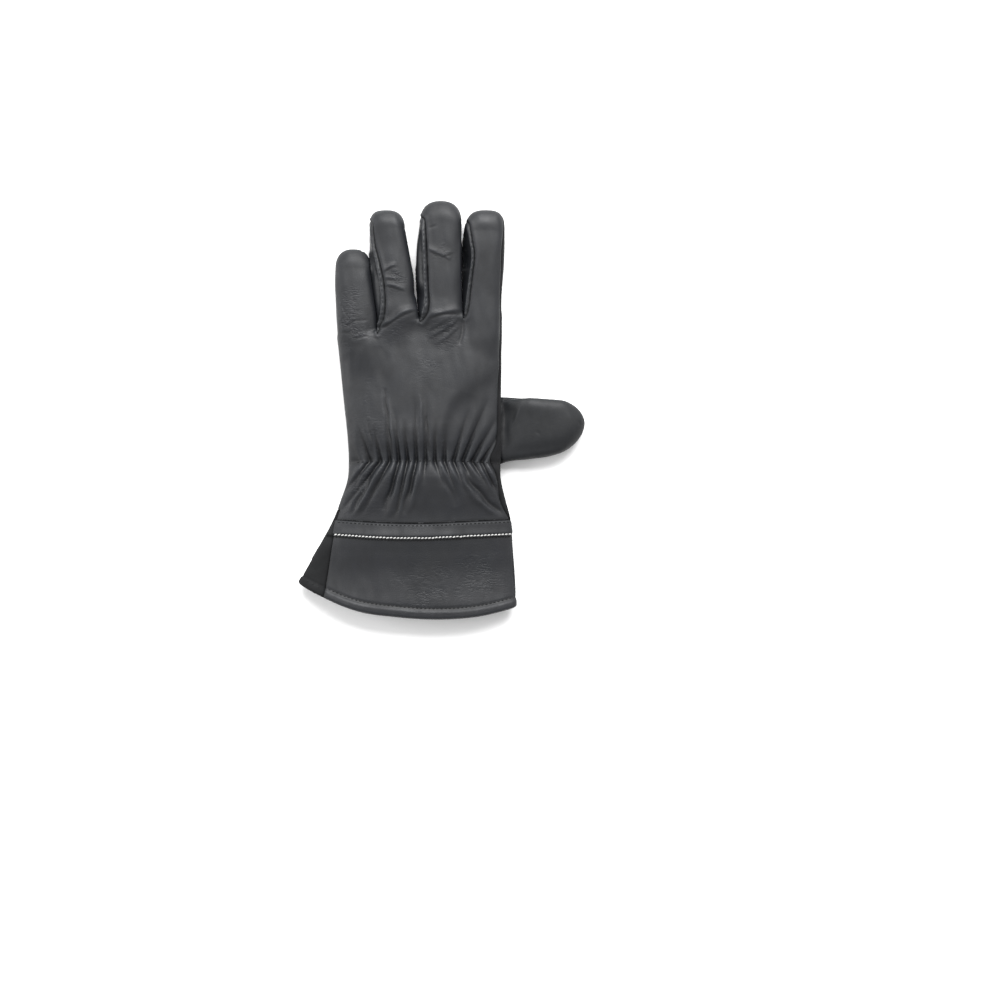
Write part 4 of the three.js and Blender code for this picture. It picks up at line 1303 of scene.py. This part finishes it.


# ---------------------------------------------------------------- Materials
# slot: colour name, grain size, grain height, wrinkle height, roughness, crest wear and painted highlight,
# painted shade, shine, sheen
LEATHER_LOOKS = {
    "back_leather": ["back", 1.0, 0.020, 0.30, 0.54, 0.35, 0.50, 0.34, 0.0],
    "palm_leather": ["palm", 0.7, 0.020, 0.10, 0.78, 0.15, 0.35, 0.17, 0.03],
    "finger_leather": ["fingers", 1.1, 0.020, 0.30, 0.45, 0.45, 0.50, 0.34, 0.0],
    "thumb_leather": ["thumb", 0.9, 0.020, 0.12, 0.58, 0.25, 0.45, 0.29, 0.0],
    "gore_leather": ["gore", 0.7, 0.022, 0.12, 0.78, 0.10, 0.35, 0.17, 0.0],
}
LEATHER_BUMP = 1.0
THREAD_BUMP = 0.8
SHEEN_ROUGHNESS = 0.6
SUEDE_GRAIN = {"Grain size": 0.4, "Grain height": 0.06}
SUEDE_GLOSS = 0.9
SUEDE_SHEEN = 0.4
THREAD_SHINE = 0.25

# Scales of the patterns, per millimetre
GRAIN_BEND_SCALE = 0.8
FINE_GRAIN_SCALE = 2.6
CREASE_SCALE = 0.3
CREASE_PATCH_SCALE = 0.11
SPECK_SCALE = 0.9
PLY_SCALE = 0.75
FUZZ_SCALE = 3.5

# How strong the parts of a pattern are, and where its edges lie
GRAIN_BEND = 0.9
PEBBLE_EDGE = 0.28
PORE_EDGE = 0.10
FINE_GRAIN_SHARE = 0.6
CREASE_TURN = (0, 0, 0.5)
CREASE_STRETCH = (0.6, 1.5, 1)
CREASE_WIDTH = 0.11
CREASE_PATCHES = (0.4, 0.6, 0.15, 1.0)
MIDDLE_RANGE = (0.3, 0.7)
BLOTCH_LIGHT = (0.78, 1.25)
SPECK_LIGHT = (0.93, 1.08)
BLOTCH_GLOSS = (0.08, -0.08)
# How much lighter crests are painted, partly as wear and partly as a painted highlight
RUBBED_AND_HIGHLIGHT_LIGHTER = 2.3
RUBBED_GLOSS = -0.08
# How strongly seams get painted shade
SEAM_SHADE = 0.8
SEAM_GLOSS = 0.15
PORE_SHADE = 0.18
# Near-black colour mixed in as painted shade in valleys and along seams, and for the dark pores of the grain
SHADED_COLOUR = (0.004, 0.004, 0.0045, 1)
PLY_TURN = (0, 0, 0.6)
PLY_WAVER = 0.6
PLY_LIGHT = (0.35, 0.62)
FUZZ_LIGHT = (0.85, 1.12)
FUZZ_HEIGHT = 0.4


def add_node(tree, kind, inputs=None, **settings):
    """A node with its settings, and with each input set to a value or linked to an output."""
    node = tree.nodes.new(kind)
    for key, value in settings.items():
        setattr(node, key, value)
    for key, value in (inputs or {}).items():
        socket = node.inputs[key]
        if isinstance(value, bpy.types.NodeSocket):
            tree.links.new(value, socket)
        else:
            socket.default_value = value
    return node


def math_node(tree, operation, *values):
    return add_node(tree, "ShaderNodeMath", dict(enumerate(values)), operation=operation).outputs[0]


def ramp(tree, value, low, high, to_low=0.0, to_high=1.0, **settings):
    """A value moved from one range to another and kept inside it."""
    inputs = {"Value": value, "From Min": low, "From Max": high, "To Min": to_low, "To Max": to_high}
    return add_node(tree, "ShaderNodeMapRange", inputs, **settings).outputs["Result"]


def noise_value(tree, place, scale, detail, roughness=0.5):
    inputs = {"Vector": place, "Scale": scale, "Detail": detail, "Roughness": roughness}
    return add_node(tree, "ShaderNodeTexNoise", inputs).outputs["Fac"]


def scaled(tree, vector, scale):
    inputs = {0: vector, "Scale": scale}
    return add_node(tree, "ShaderNodeVectorMath", inputs, operation="SCALE").outputs[0]


def mix_colour(tree, factor, first, second):
    inputs = {0: factor, 6: first, 7: second}
    return add_node(tree, "ShaderNodeMix", inputs, data_type="RGBA").outputs[2]


def new_group(name, inputs, outputs):
    """A shader node group with named inputs (name, kind, default) and outputs (name, kind)."""
    tree = bpy.data.node_groups.new(name, "ShaderNodeTree")
    for label, kind, default in inputs:
        socket = tree.interface.new_socket(label, in_out="INPUT", socket_type="NodeSocket" + kind)
        socket.default_value = default
    for label, kind in outputs:
        tree.interface.new_socket(label, in_out="OUTPUT", socket_type="NodeSocket" + kind)
    start = tree.nodes.new("NodeGroupInput")
    end = tree.nodes.new("NodeGroupOutput")
    return tree, start.outputs, end.inputs


def object_place(tree):
    """Coordinates on the glove in millimetres."""
    place = add_node(tree, "ShaderNodeTexCoord").outputs["Object"]
    inputs = {"Vector": place, "Scale": [1 / MM] * 3}
    return add_node(tree, "ShaderNodeMapping", inputs).outputs["Vector"]


def leather_grain_group(name):
    """Pebbled grain with pores and fine wrinkles, as a height in millimetres."""
    tree, given, out = new_group(
        name,
        [("Grain size", "Float", 0.9), ("Grain height", "Float", 0.05), ("Wrinkle height", "Float", 0.2),
         ("Wrinkles", "Float", 0.0)],
        [("Height", "Float"), ("Pores", "Float")],
    )
    place = object_place(tree)
    inputs = {"Vector": place, "Scale": GRAIN_BEND_SCALE, "Detail": 2.0}
    bend = add_node(tree, "ShaderNodeTexNoise", inputs).outputs["Color"]
    inputs = {0: bend, 1: (0.5, 0.5, 0.5)}
    shift = add_node(tree, "ShaderNodeVectorMath", inputs, operation="SUBTRACT").outputs[0]
    inputs = {0: place, 1: scaled(tree, shift, GRAIN_BEND)}
    bent = add_node(tree, "ShaderNodeVectorMath", inputs, operation="ADD").outputs[0]
    inputs = {"Vector": bent, "Scale": math_node(tree, "DIVIDE", 1.0, given["Grain size"])}
    cells = add_node(tree, "ShaderNodeTexVoronoi", inputs, feature="DISTANCE_TO_EDGE").outputs["Distance"]
    pebble = ramp(tree, cells, 0.0, PEBBLE_EDGE)
    fine = noise_value(tree, place, FINE_GRAIN_SCALE, 3.0)
    grain = math_node(tree, "MULTIPLY_ADD", fine, FINE_GRAIN_SHARE, pebble)
    height = math_node(tree, "MULTIPLY", grain, given["Grain height"])

    inputs = {"Vector": bent, "Rotation": CREASE_TURN, "Scale": CREASE_STRETCH}
    along = add_node(tree, "ShaderNodeMapping", inputs).outputs["Vector"]
    lines = noise_value(tree, along, CREASE_SCALE, 2.0)
    off_line = math_node(tree, "ABSOLUTE", math_node(tree, "SUBTRACT", lines, 0.5))
    crease = ramp(tree, off_line, 0.0, CREASE_WIDTH, 1.0, 0.0, interpolation_type="SMOOTHERSTEP")
    patchy = noise_value(tree, place, CREASE_PATCH_SCALE, 1.0)
    for factor in (ramp(tree, patchy, *CREASE_PATCHES), given["Wrinkles"], given["Wrinkle height"]):
        crease = math_node(tree, "MULTIPLY", crease, factor)
    tree.links.new(math_node(tree, "SUBTRACT", height, crease), out["Height"])
    tree.links.new(ramp(tree, cells, 0.0, PORE_EDGE, 1.0, 0.0), out["Pores"])
    return tree


def leather_tone_group(name):
    """Colour and gloss of leather: random blotches, crests lighter from wear and as a painted highlight,
    painted shade in valleys and along seams.
    """
    tree, given, out = new_group(
        name,
        [("Colour", "Color", (0.04, 0.04, 0.04, 1)), ("Rubbed and highlight", "Float", 0.5), ("Shaded", "Float", 0.5),
         ("Crest", "Float", 0.0), ("Valley", "Float", 0.0), ("Seam", "Float", 0.0), ("Pores", "Float", 0.0),
         ("Gloss", "Float", 0.5), ("Blotch size", "Float", 18.0)],
        [("Colour", "Color"), ("Roughness", "Float")],
    )
    place = object_place(tree)
    broad = noise_value(tree, place, math_node(tree, "DIVIDE", 1.0, given["Blotch size"]), 3.0, 0.6)
    fine = noise_value(tree, place, SPECK_SCALE, 4.0)
    light = ramp(tree, broad, *MIDDLE_RANGE, *BLOTCH_LIGHT)
    shade = math_node(tree, "MULTIPLY", light, ramp(tree, fine, *MIDDLE_RANGE, *SPECK_LIGHT))
    # Crests are painted lighter: part wear, part painted highlight
    worn = math_node(tree, "MULTIPLY", given["Crest"], given["Rubbed and highlight"])
    rubbed_and_highlight_colour = scaled(tree, given["Colour"], RUBBED_AND_HIGHLIGHT_LIGHTER)
    colour = mix_colour(tree, worn, scaled(tree, given["Colour"], shade), rubbed_and_highlight_colour)
    # Painted shade: valleys and seams are darkened towards a near-black colour; the pores of the grain are
    # darkened too
    low = math_node(tree, "MAXIMUM", given["Valley"], math_node(tree, "MULTIPLY", given["Seam"], SEAM_SHADE))
    low = math_node(tree, "MULTIPLY", low, given["Shaded"])
    low = math_node(tree, "MULTIPLY_ADD", given["Pores"], PORE_SHADE, low)
    low = add_node(tree, "ShaderNodeClamp", {"Value": low}).outputs[0]
    tree.links.new(mix_colour(tree, low, colour, SHADED_COLOUR), out["Colour"])

    rough = math_node(tree, "ADD", ramp(tree, broad, *MIDDLE_RANGE, *BLOTCH_GLOSS), given["Gloss"])
    rough = math_node(tree, "MULTIPLY_ADD", given["Seam"], SEAM_GLOSS, rough)
    rough = math_node(tree, "MULTIPLY_ADD", worn, RUBBED_GLOSS, rough)
    tree.links.new(rough, out["Roughness"])
    return tree


def thread_group(name):
    """Twisted plies of a sewing thread."""
    tree, given, out = new_group(
        name,
        [("Colour", "Color", (0.5, 0.5, 0.5, 1)), ("Ply height", "Float", 0.06)],
        [("Colour", "Color"), ("Height", "Float")],
    )
    place = object_place(tree)
    turned = add_node(tree, "ShaderNodeMapping", {"Vector": place, "Rotation": PLY_TURN}).outputs["Vector"]
    inputs = {"Vector": turned, "Scale": PLY_SCALE, "Distortion": PLY_WAVER}
    plies = add_node(tree, "ShaderNodeTexWave", inputs, bands_direction="X").outputs["Fac"]
    fuzz = noise_value(tree, place, FUZZ_SCALE, 3.0)
    shade = math_node(tree, "MULTIPLY_ADD", plies, *PLY_LIGHT)
    shade = math_node(tree, "MULTIPLY", shade, ramp(tree, fuzz, *MIDDLE_RANGE, *FUZZ_LIGHT))
    height = math_node(tree, "MULTIPLY_ADD", fuzz, FUZZ_HEIGHT, plies)
    tree.links.new(scaled(tree, given["Colour"], shade), out["Colour"])
    tree.links.new(math_node(tree, "MULTIPLY", height, given["Ply height"]), out["Height"])
    return tree


GROUP_MAKERS = {
    "Leather grain": leather_grain_group,
    "Leather tone": leather_tone_group,
    "Thread twist": thread_group,
}


def group_node(tree, name, inputs):
    """A node of a shared group, which is made when it is first needed."""
    group = bpy.data.node_groups.get(name) or GROUP_MAKERS[name](name)
    return add_node(tree, "ShaderNodeGroup", inputs, node_tree=group)


def mark_value(tree, mark):
    """The value that the mesh holds for a mark, such as how much a place is on a crest."""
    return add_node(tree, "ShaderNodeAttribute", attribute_name=mark).outputs["Fac"]


def start_material(name):
    material = bpy.data.materials.new(name)
    material.use_nodes = True
    tree = material.node_tree
    return material, tree, tree.nodes.get("Principled BSDF")


def link_colour_and_bump(tree, shader, colour, height, strength):
    bump = add_node(tree, "ShaderNodeBump", {"Strength": strength, "Distance": MM, "Height": height})
    tree.links.new(colour, shader.inputs["Base Color"])
    tree.links.new(bump.outputs["Normal"], shader.inputs["Normal"])


def dress_in_leather(tree, shader, grain_inputs, tone_inputs):
    """Leads the grain and the tone of leather into a shader."""
    grain = group_node(tree, "Leather grain", grain_inputs)
    tone = group_node(tree, "Leather tone", {**tone_inputs, "Pores": grain.outputs["Pores"]})
    link_colour_and_bump(tree, shader, tone.outputs["Colour"], grain.outputs["Height"], LEATHER_BUMP)
    tree.links.new(tone.outputs["Roughness"], shader.inputs["Roughness"])


def leather_material(context, slot):
    name = slot + "_finish"
    known = bpy.data.materials.get(name)
    if known:
        return known
    colour_name, size, height, wrinkle, gloss, rubbed_and_highlight, shaded, shine, sheen = LEATHER_LOOKS[slot]
    colour = (*getattr(context.scene.glove_colours, colour_name), 1)
    material, tree, shader = start_material(name)
    grain_inputs = {
        "Grain size": size, "Grain height": height,
        "Wrinkle height": wrinkle, "Wrinkles": mark_value(tree, "wrinkle"),
    }
    tone_inputs = {
        "Colour": colour, "Rubbed and highlight": rubbed_and_highlight, "Shaded": shaded, "Gloss": gloss,
        "Crest": mark_value(tree, "crest"), "Valley": mark_value(tree, "valley"),
        "Seam": mark_value(tree, "seam"),
    }
    dress_in_leather(tree, shader, grain_inputs, tone_inputs)
    shader.inputs["Specular IOR Level"].default_value = shine
    shader.inputs["Sheen Weight"].default_value = sheen
    shader.inputs["Sheen Roughness"].default_value = SHEEN_ROUGHNESS
    return material


def suede_material(context):
    known = bpy.data.materials.get("suede_inside")
    if known:
        return known
    material, tree, shader = start_material("suede_inside")
    colour = (*context.scene.glove_colours.inside, 1)
    dress_in_leather(tree, shader, SUEDE_GRAIN, {"Colour": colour, "Gloss": SUEDE_GLOSS})
    shader.inputs["Sheen Weight"].default_value = SUEDE_SHEEN
    return material


def thread_material(name, colour, rough):
    known = bpy.data.materials.get(name)
    if known:
        return known
    material, tree, shader = start_material(name)
    twist = group_node(tree, "Thread twist", {"Colour": (*colour, 1)})
    link_colour_and_bump(tree, shader, twist.outputs["Colour"], twist.outputs["Height"], THREAD_BUMP)
    shader.inputs["Roughness"].default_value = rough
    shader.inputs["Specular IOR Level"].default_value = THREAD_SHINE
    return material


# ---------------------------------------------------------------- Stitches
STITCH_RINGS = 7
STITCH_SIDES = 8
STITCH_DIVE = 0.9
STITCH_TAPER = 3
THINNEST_END = 0.02
END_GAP = 0.5
AIM_STEP = 0.2
LINE_STEPS = 60
SEWN_OVAL_STEPS, SEWN_OVAL = 60, slice(4, -6)
SEWN_PATCH_STEPS, SEWN_PATCH = 40, slice(8, -9)
RAY_TOP = 60.0
RAY_FOOT = -20.0
THREAD_ROUGHNESS = {"white": 0.6, "dark": 0.75}

# Sorts of stitches: thread, share of the thread's pitch, share of the pitch that a stitch fills, slant
STITCH_SORTS = {
    "white": ["white", 1, 0.95, 0.30],
    "dark": ["dark", 1, 0.7, 0],
    "short": ["dark", 0.8, 0.62, 0],
    "long": ["dark", 1.15, 0.6, 0],
}


def stitch_shape():
    """One stitch along X, from -0.5 to 0.5, with a radius of 1, whose ends dive into the leather."""
    along = np.linspace(-1, 1, STITCH_RINGS)
    turn = np.linspace(0, 2 * math.pi, STITCH_SIDES, endpoint=False)
    girth = np.sqrt(np.clip(1 - np.abs(along) ** STITCH_TAPER, THINNEST_END, 1))
    points = [
        [place / 2, width * math.cos(a), width * math.sin(a) - STITCH_DIVE * place**4]
        for place, width in zip(along, girth)
        for a in turn
    ]
    faces = []
    for ring in range(STITCH_RINGS - 1):
        for side in range(STITCH_SIDES):
            after = (side + 1) % STITCH_SIDES
            low, high = ring * STITCH_SIDES, (ring + 1) * STITCH_SIDES
            faces.append([low + side, high + side, high + after, low + after])
    faces.append(list(range(STITCH_SIDES)))
    last = (STITCH_RINGS - 1) * STITCH_SIDES
    faces.append([last + side for side in reversed(range(STITCH_SIDES))])
    return np.array(points), faces


def even_points(line, pitch):
    """Places at an even pitch along a line, and the direction there."""
    line = np.asarray(line, float)
    lengths = np.linalg.norm(np.diff(line, axis=0), axis=1)
    place = np.concatenate([[0], np.cumsum(lengths)])
    count = max(int((place[-1] - 2 * END_GAP * pitch) / pitch), 1)
    wanted = np.linspace(END_GAP * pitch, place[-1] - END_GAP * pitch, count)

    def at(wanted):
        return np.stack([np.interp(wanted, place, line[:, axis]) for axis in (0, 1)], axis=1)

    return at(wanted), at(wanted + AIM_STEP) - at(wanted - AIM_STEP)


def drop_on(tree, at, from_above):
    """Where a vertical line at a place meets the leather, and the leather's normal there."""
    height, heading = (RAY_TOP, -1) if from_above else (RAY_FOOT, 1)
    hit, normal, _, _ = tree.ray_cast(Vector((at[0], at[1], height)), Vector((0, 0, heading)))
    return hit, normal


def stitch_row(tree, line, pitch, length, thickness, slant, from_above, sink):
    """The points and faces of one row of stitches, laid on the leather."""
    template, template_faces = stitch_shape()
    points, faces = [], []
    places, directions = even_points(line, pitch)
    for at, direction in zip(places, directions):
        hit, normal = drop_on(tree, at, from_above)
        if hit is None:
            continue
        normal = np.array(normal)
        flow = np.array([*direction, 0.0])
        flow -= normal * (flow @ normal)
        flow /= np.linalg.norm(flow)
        side = np.cross(normal, flow)
        flow, side = (
            flow * math.cos(slant) + side * math.sin(slant),
            side * math.cos(slant) - flow * math.sin(slant),
        )
        radius = thickness / 2
        centre = np.array(hit) + normal * (radius - sink)
        shape = centre + template[:, :1] * flow * length + radius * (
            template[:, 1:2] * side + template[:, 2:] * normal
        )
        shape[:, 2] = np.maximum(shape[:, 2], 0)
        faces += [[corner + len(points) * len(template) for corner in face] for face in template_faces]
        points.append(shape)
    if not points:
        raise RuntimeError("a row of stitches meets no leather")
    return np.vstack(points), faces


def line_between(height, start_x, end_x, shift=0.0):
    """A run of points on a line that is read by x, moved along Y."""
    x = np.linspace(start_x, end_x, LINE_STEPS)
    return np.stack([x, height(x) + shift], axis=1)


def shifted_line(line, distance):
    """A line moved sideways, to its left as it runs."""
    line = np.asarray(line, float)
    run = np.gradient(line, axis=0)
    run /= np.linalg.norm(run, axis=1)[:, None]
    return line + np.stack([-run[:, 1], run[:, 0]], axis=1) * distance


def stitch_rows():
    """Each row: piece, sort of stitch, line, seen from above, how deep it sinks in."""
    oval = smooth_line(THUMB_OVAL, SEWN_OVAL_STEPS)[SEWN_OVAL]
    patch = smooth_line(PATCH_LINE, SEWN_PATCH_STEPS)[SEWN_PATCH]
    return [
        ["white_stitches_back", "white", line_between(BAND_LOW_BACK_Y, -70.4, 46.4, -0.1), True, 0.15],
        ["white_stitches_palm", "white", line_between(BAND_LOW_PALM_Y, -49.6, 45.0, -0.1), False, 0.15],
        ["dark_stitches_band_top", "dark", line_between(BAND_TOP_BACK_Y, -68.5, 45.5, -1.4), True, 0.15],
        ["dark_stitches_band_low", "short", line_between(BAND_LOW_BACK_Y, -70.0, 46.0, -1.7), True, 0.12],
        ["dark_stitches_band_palm", "dark", line_between(BAND_TOP_PALM_Y, -49.0, 44.0, -1.4), False, 0.12],
        ["dark_stitches_hem_back", "dark", line_between(HEM_Y, -74.5, 47.0, HEM_DEPTH), True, 0.15],
        ["dark_stitches_hem_palm", "dark", line_between(HEM_Y, -49.0, 46.0, HEM_DEPTH), False, 0.15],
        ["dark_stitches_hem_gusset", "dark", line_between(HEM_Y, -93.0, -79.5, 5.0), True, 0.15],
        ["dark_stitches_thumb_outer", "dark", shifted_line(oval, -1.7), False, 0.12],
        ["dark_stitches_thumb_inner", "dark", shifted_line(oval, 1.7), False, 0.12],
        ["dark_stitches_thumb_patch", "dark", shifted_line(patch, -1.5), False, 0.12],
        ["dark_stitches_elastic", "long", line_between(ELASTIC_Y, -56.0, 35.0), True, 0.1],
    ]


def sew_row(context, tree, name, sort, line, from_above, sink):
    """One row of stitches as one piece."""
    sizes, colours = context.scene.glove_sizes, context.scene.glove_colours
    thread, pitch_share, length_share, slant = STITCH_SORTS[sort]
    pitch = getattr(sizes, thread + "_pitch") / MM * pitch_share
    thickness = getattr(sizes, thread + "_thickness") / MM
    points, faces = stitch_row(tree, line, pitch, pitch * length_share, thickness, slant, from_above, sink)
    piece = make_mesh(name, points, faces)
    colour = getattr(colours, thread + "_thread")
    piece.data.materials.append(thread_material(thread + "_thread", colour, THREAD_ROUGHNESS[thread]))
    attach(piece, BODY)


# ---------------------------------------------------------------- Operators
class GLOVE_OT_back(bpy.types.Operator):
    """Makes the back of the hand, with its folds and the gathers at the wrist"""
    bl_idname = "glove.back"
    bl_label = "Back of the hand"

    def execute(self, context):
        make_panels(context, ["back_panel"])
        return {"FINISHED"}


class GLOVE_OT_palm(bpy.types.Operator):
    """Makes the palm and the fronts of the ring and middle fingers"""
    bl_idname = "glove.palm"
    bl_label = "Palm and finger fronts"

    def execute(self, context):
        make_panels(context, ["palm_panel", "ring_finger_front", "middle_finger_front"])
        return {"FINISHED"}


class GLOVE_OT_side_walls(bpy.types.Operator):
    """Makes the three side walls between the fingers"""
    bl_idname = "glove.side_walls"
    bl_label = "Finger side walls"

    def execute(self, context):
        make_panels(context, list(SIDE_WALL_ROWS))
        return {"FINISHED"}


class GLOVE_OT_thumb(bpy.types.Operator):
    """Makes the thumb and the patch at its root"""
    bl_idname = "glove.thumb"
    bl_label = "Thumb"

    def execute(self, context):
        make_panels(context, ["thumb", "thumb_patch"])
        return {"FINISHED"}


class GLOVE_OT_cuff(bpy.types.Operator):
    """Makes the cuff: its bands, its back and its palm side, with the rolled hem"""
    bl_idname = "glove.cuff"
    bl_label = "Cuff"

    def execute(self, context):
        make_panels(context, ["cuff_band_back", "cuff_back", "cuff_band_palm", "cuff_palm"])
        return {"FINISHED"}


class GLOVE_OT_gusset(bpy.types.Operator):
    """Makes the gore at the side of the cuff"""
    bl_idname = "glove.gusset"
    bl_label = "Side gore"

    def execute(self, context):
        make_panels(context, ["cuff_gusset"])
        return {"FINISHED"}


class GLOVE_OT_stitches(bpy.types.Operator):
    """Sews every row of white and dark stitches"""
    bl_idname = "glove.stitches"
    bl_label = "Stitches"

    def execute(self, context):
        skin = current_skin(context)
        tree = BVHTree.FromPolygons(skin["sewn"].tolist(), skin["triangles"].tolist())
        for row in stitch_rows():
            sew_row(context, tree, *row)
        return {"FINISHED"}


# ---------------------------------------------------------------- Stage
CAMERA_OVER = (0.0389, -0.0597)
VIEW_WIDTH = 0.66
VIEW_HEIGHT = 0.012
LENS = 100.0
SENSOR = 36.0
FLOOR_SIZE = 12.0
FLOOR_GREYS = [(0.90, 0.90, 0.90, 1), (0.92, 0.92, 0.92, 1)]
FLOOR_SPECKS = {"Scale": 3.0, "Detail": 2.0}
FLOOR_ROUGHNESS = 0.9
FLOOR_SHINE = 0.1
CLIP_NEAR, CLIP_FAR = 0.05, 50.0
WORLD_STRENGTH = 0.72

# Lamps: place, target, width, depth, power
LAMPS = {
    "key_lamp": [(0.25, 1.6, 1.6), (0, 0, 0), 2.0, 1.6, 128.0],
    "left_lamp": [(-1.7, 0.2, 0.8), (0, 0, 0), 1.0, 1.0, 20.0],
    "right_lamp": [(1.6, 0.2, 1.0), (0, 0, 0), 1.0, 1.0, 4.0],
}


class GLOVE_OT_stage(bpy.types.Operator):
    """Makes the pale floor, the soft studio light and the camera above the glove"""
    bl_idname = "glove.stage"
    bl_label = "Stage"

    def execute(self, context):
        scene = context.scene
        half = FLOOR_SIZE / 2
        corners = [(-half, -half, 0), (half, -half, 0), (half, half, 0), (-half, half, 0)]
        mesh = bpy.data.meshes.new("floor")
        mesh.from_pydata(corners, [], [(0, 1, 2, 3)])
        floor = bpy.data.objects.new("floor", mesh)
        scene.collection.objects.link(floor)
        material, tree, shader = start_material("pale_floor")
        speck = add_node(tree, "ShaderNodeTexNoise", FLOOR_SPECKS).outputs["Fac"]
        tree.links.new(mix_colour(tree, speck, *FLOOR_GREYS), shader.inputs["Base Color"])
        shader.inputs["Roughness"].default_value = FLOOR_ROUGHNESS
        shader.inputs["Specular IOR Level"].default_value = FLOOR_SHINE
        mesh.materials.append(material)

        for name, (place, target, width, depth, power) in LAMPS.items():
            light = bpy.data.lights.new(name, "AREA")
            light.shape, light.size, light.size_y, light.energy = "RECTANGLE", width, depth, power
            lamp = bpy.data.objects.new(name, light)
            lamp.location = place
            lamp.rotation_euler = (Vector(target) - Vector(place)).to_track_quat("-Z", "Y").to_euler()
            scene.collection.objects.link(lamp)

        world = bpy.data.worlds.new("studio")
        world.use_nodes = True
        back = world.node_tree.nodes["Background"]
        back.inputs["Color"].default_value = (1.0, 1.0, 1.0, 1)
        back.inputs["Strength"].default_value = WORLD_STRENGTH
        scene.world = world
        scene.view_settings.view_transform = "Standard"

        data = bpy.data.cameras.new("camera")
        data.lens, data.sensor_width = LENS, SENSOR
        data.clip_start, data.clip_end = CLIP_NEAR, CLIP_FAR
        camera = bpy.data.objects.new("camera", data)
        camera.location = (*CAMERA_OVER, VIEW_HEIGHT + VIEW_WIDTH * LENS / SENSOR)
        scene.collection.objects.link(camera)
        scene.camera = camera
        return {"FINISHED"}


STEPS = [
    GLOVE_OT_stage, GLOVE_OT_back, GLOVE_OT_palm, GLOVE_OT_side_walls, GLOVE_OT_thumb, GLOVE_OT_cuff,
    GLOVE_OT_gusset, GLOVE_OT_stitches,
]


class GLOVE_PT_panel(bpy.types.Panel):
    """Lists the steps that make the glove, and its sizes and colours"""
    bl_idname = "GLOVE_PT_panel"
    bl_label = "Leather Outdoor Glove"
    bl_space_type = "VIEW_3D"
    bl_region_type = "UI"
    bl_category = "Glove"

    def draw(self, context):
        layout = self.layout
        for step in STEPS:
            layout.operator(step.bl_idname, text=step.bl_label)
        for group in (context.scene.glove_sizes, context.scene.glove_colours):
            for name in group.__annotations__:
                layout.prop(group, name)


CLASSES = [GloveSizes, GloveColours, *STEPS, GLOVE_PT_panel]


def register():
    for item in CLASSES:
        bpy.utils.register_class(item)
    bpy.types.Scene.glove_sizes = bpy.props.PointerProperty(type=GloveSizes)
    bpy.types.Scene.glove_colours = bpy.props.PointerProperty(type=GloveColours)


def unregister():
    del bpy.types.Scene.glove_colours
    del bpy.types.Scene.glove_sizes
    for item in reversed(CLASSES):
        bpy.utils.unregister_class(item)


def main():
    register()
    bpy.ops.glove.stage()
    bpy.ops.glove.back()
    bpy.ops.glove.palm()
    bpy.ops.glove.side_walls()
    bpy.ops.glove.thumb()
    bpy.ops.glove.cuff()
    bpy.ops.glove.gusset()
    bpy.ops.glove.stitches()


if __name__ == "__main__":
    main()
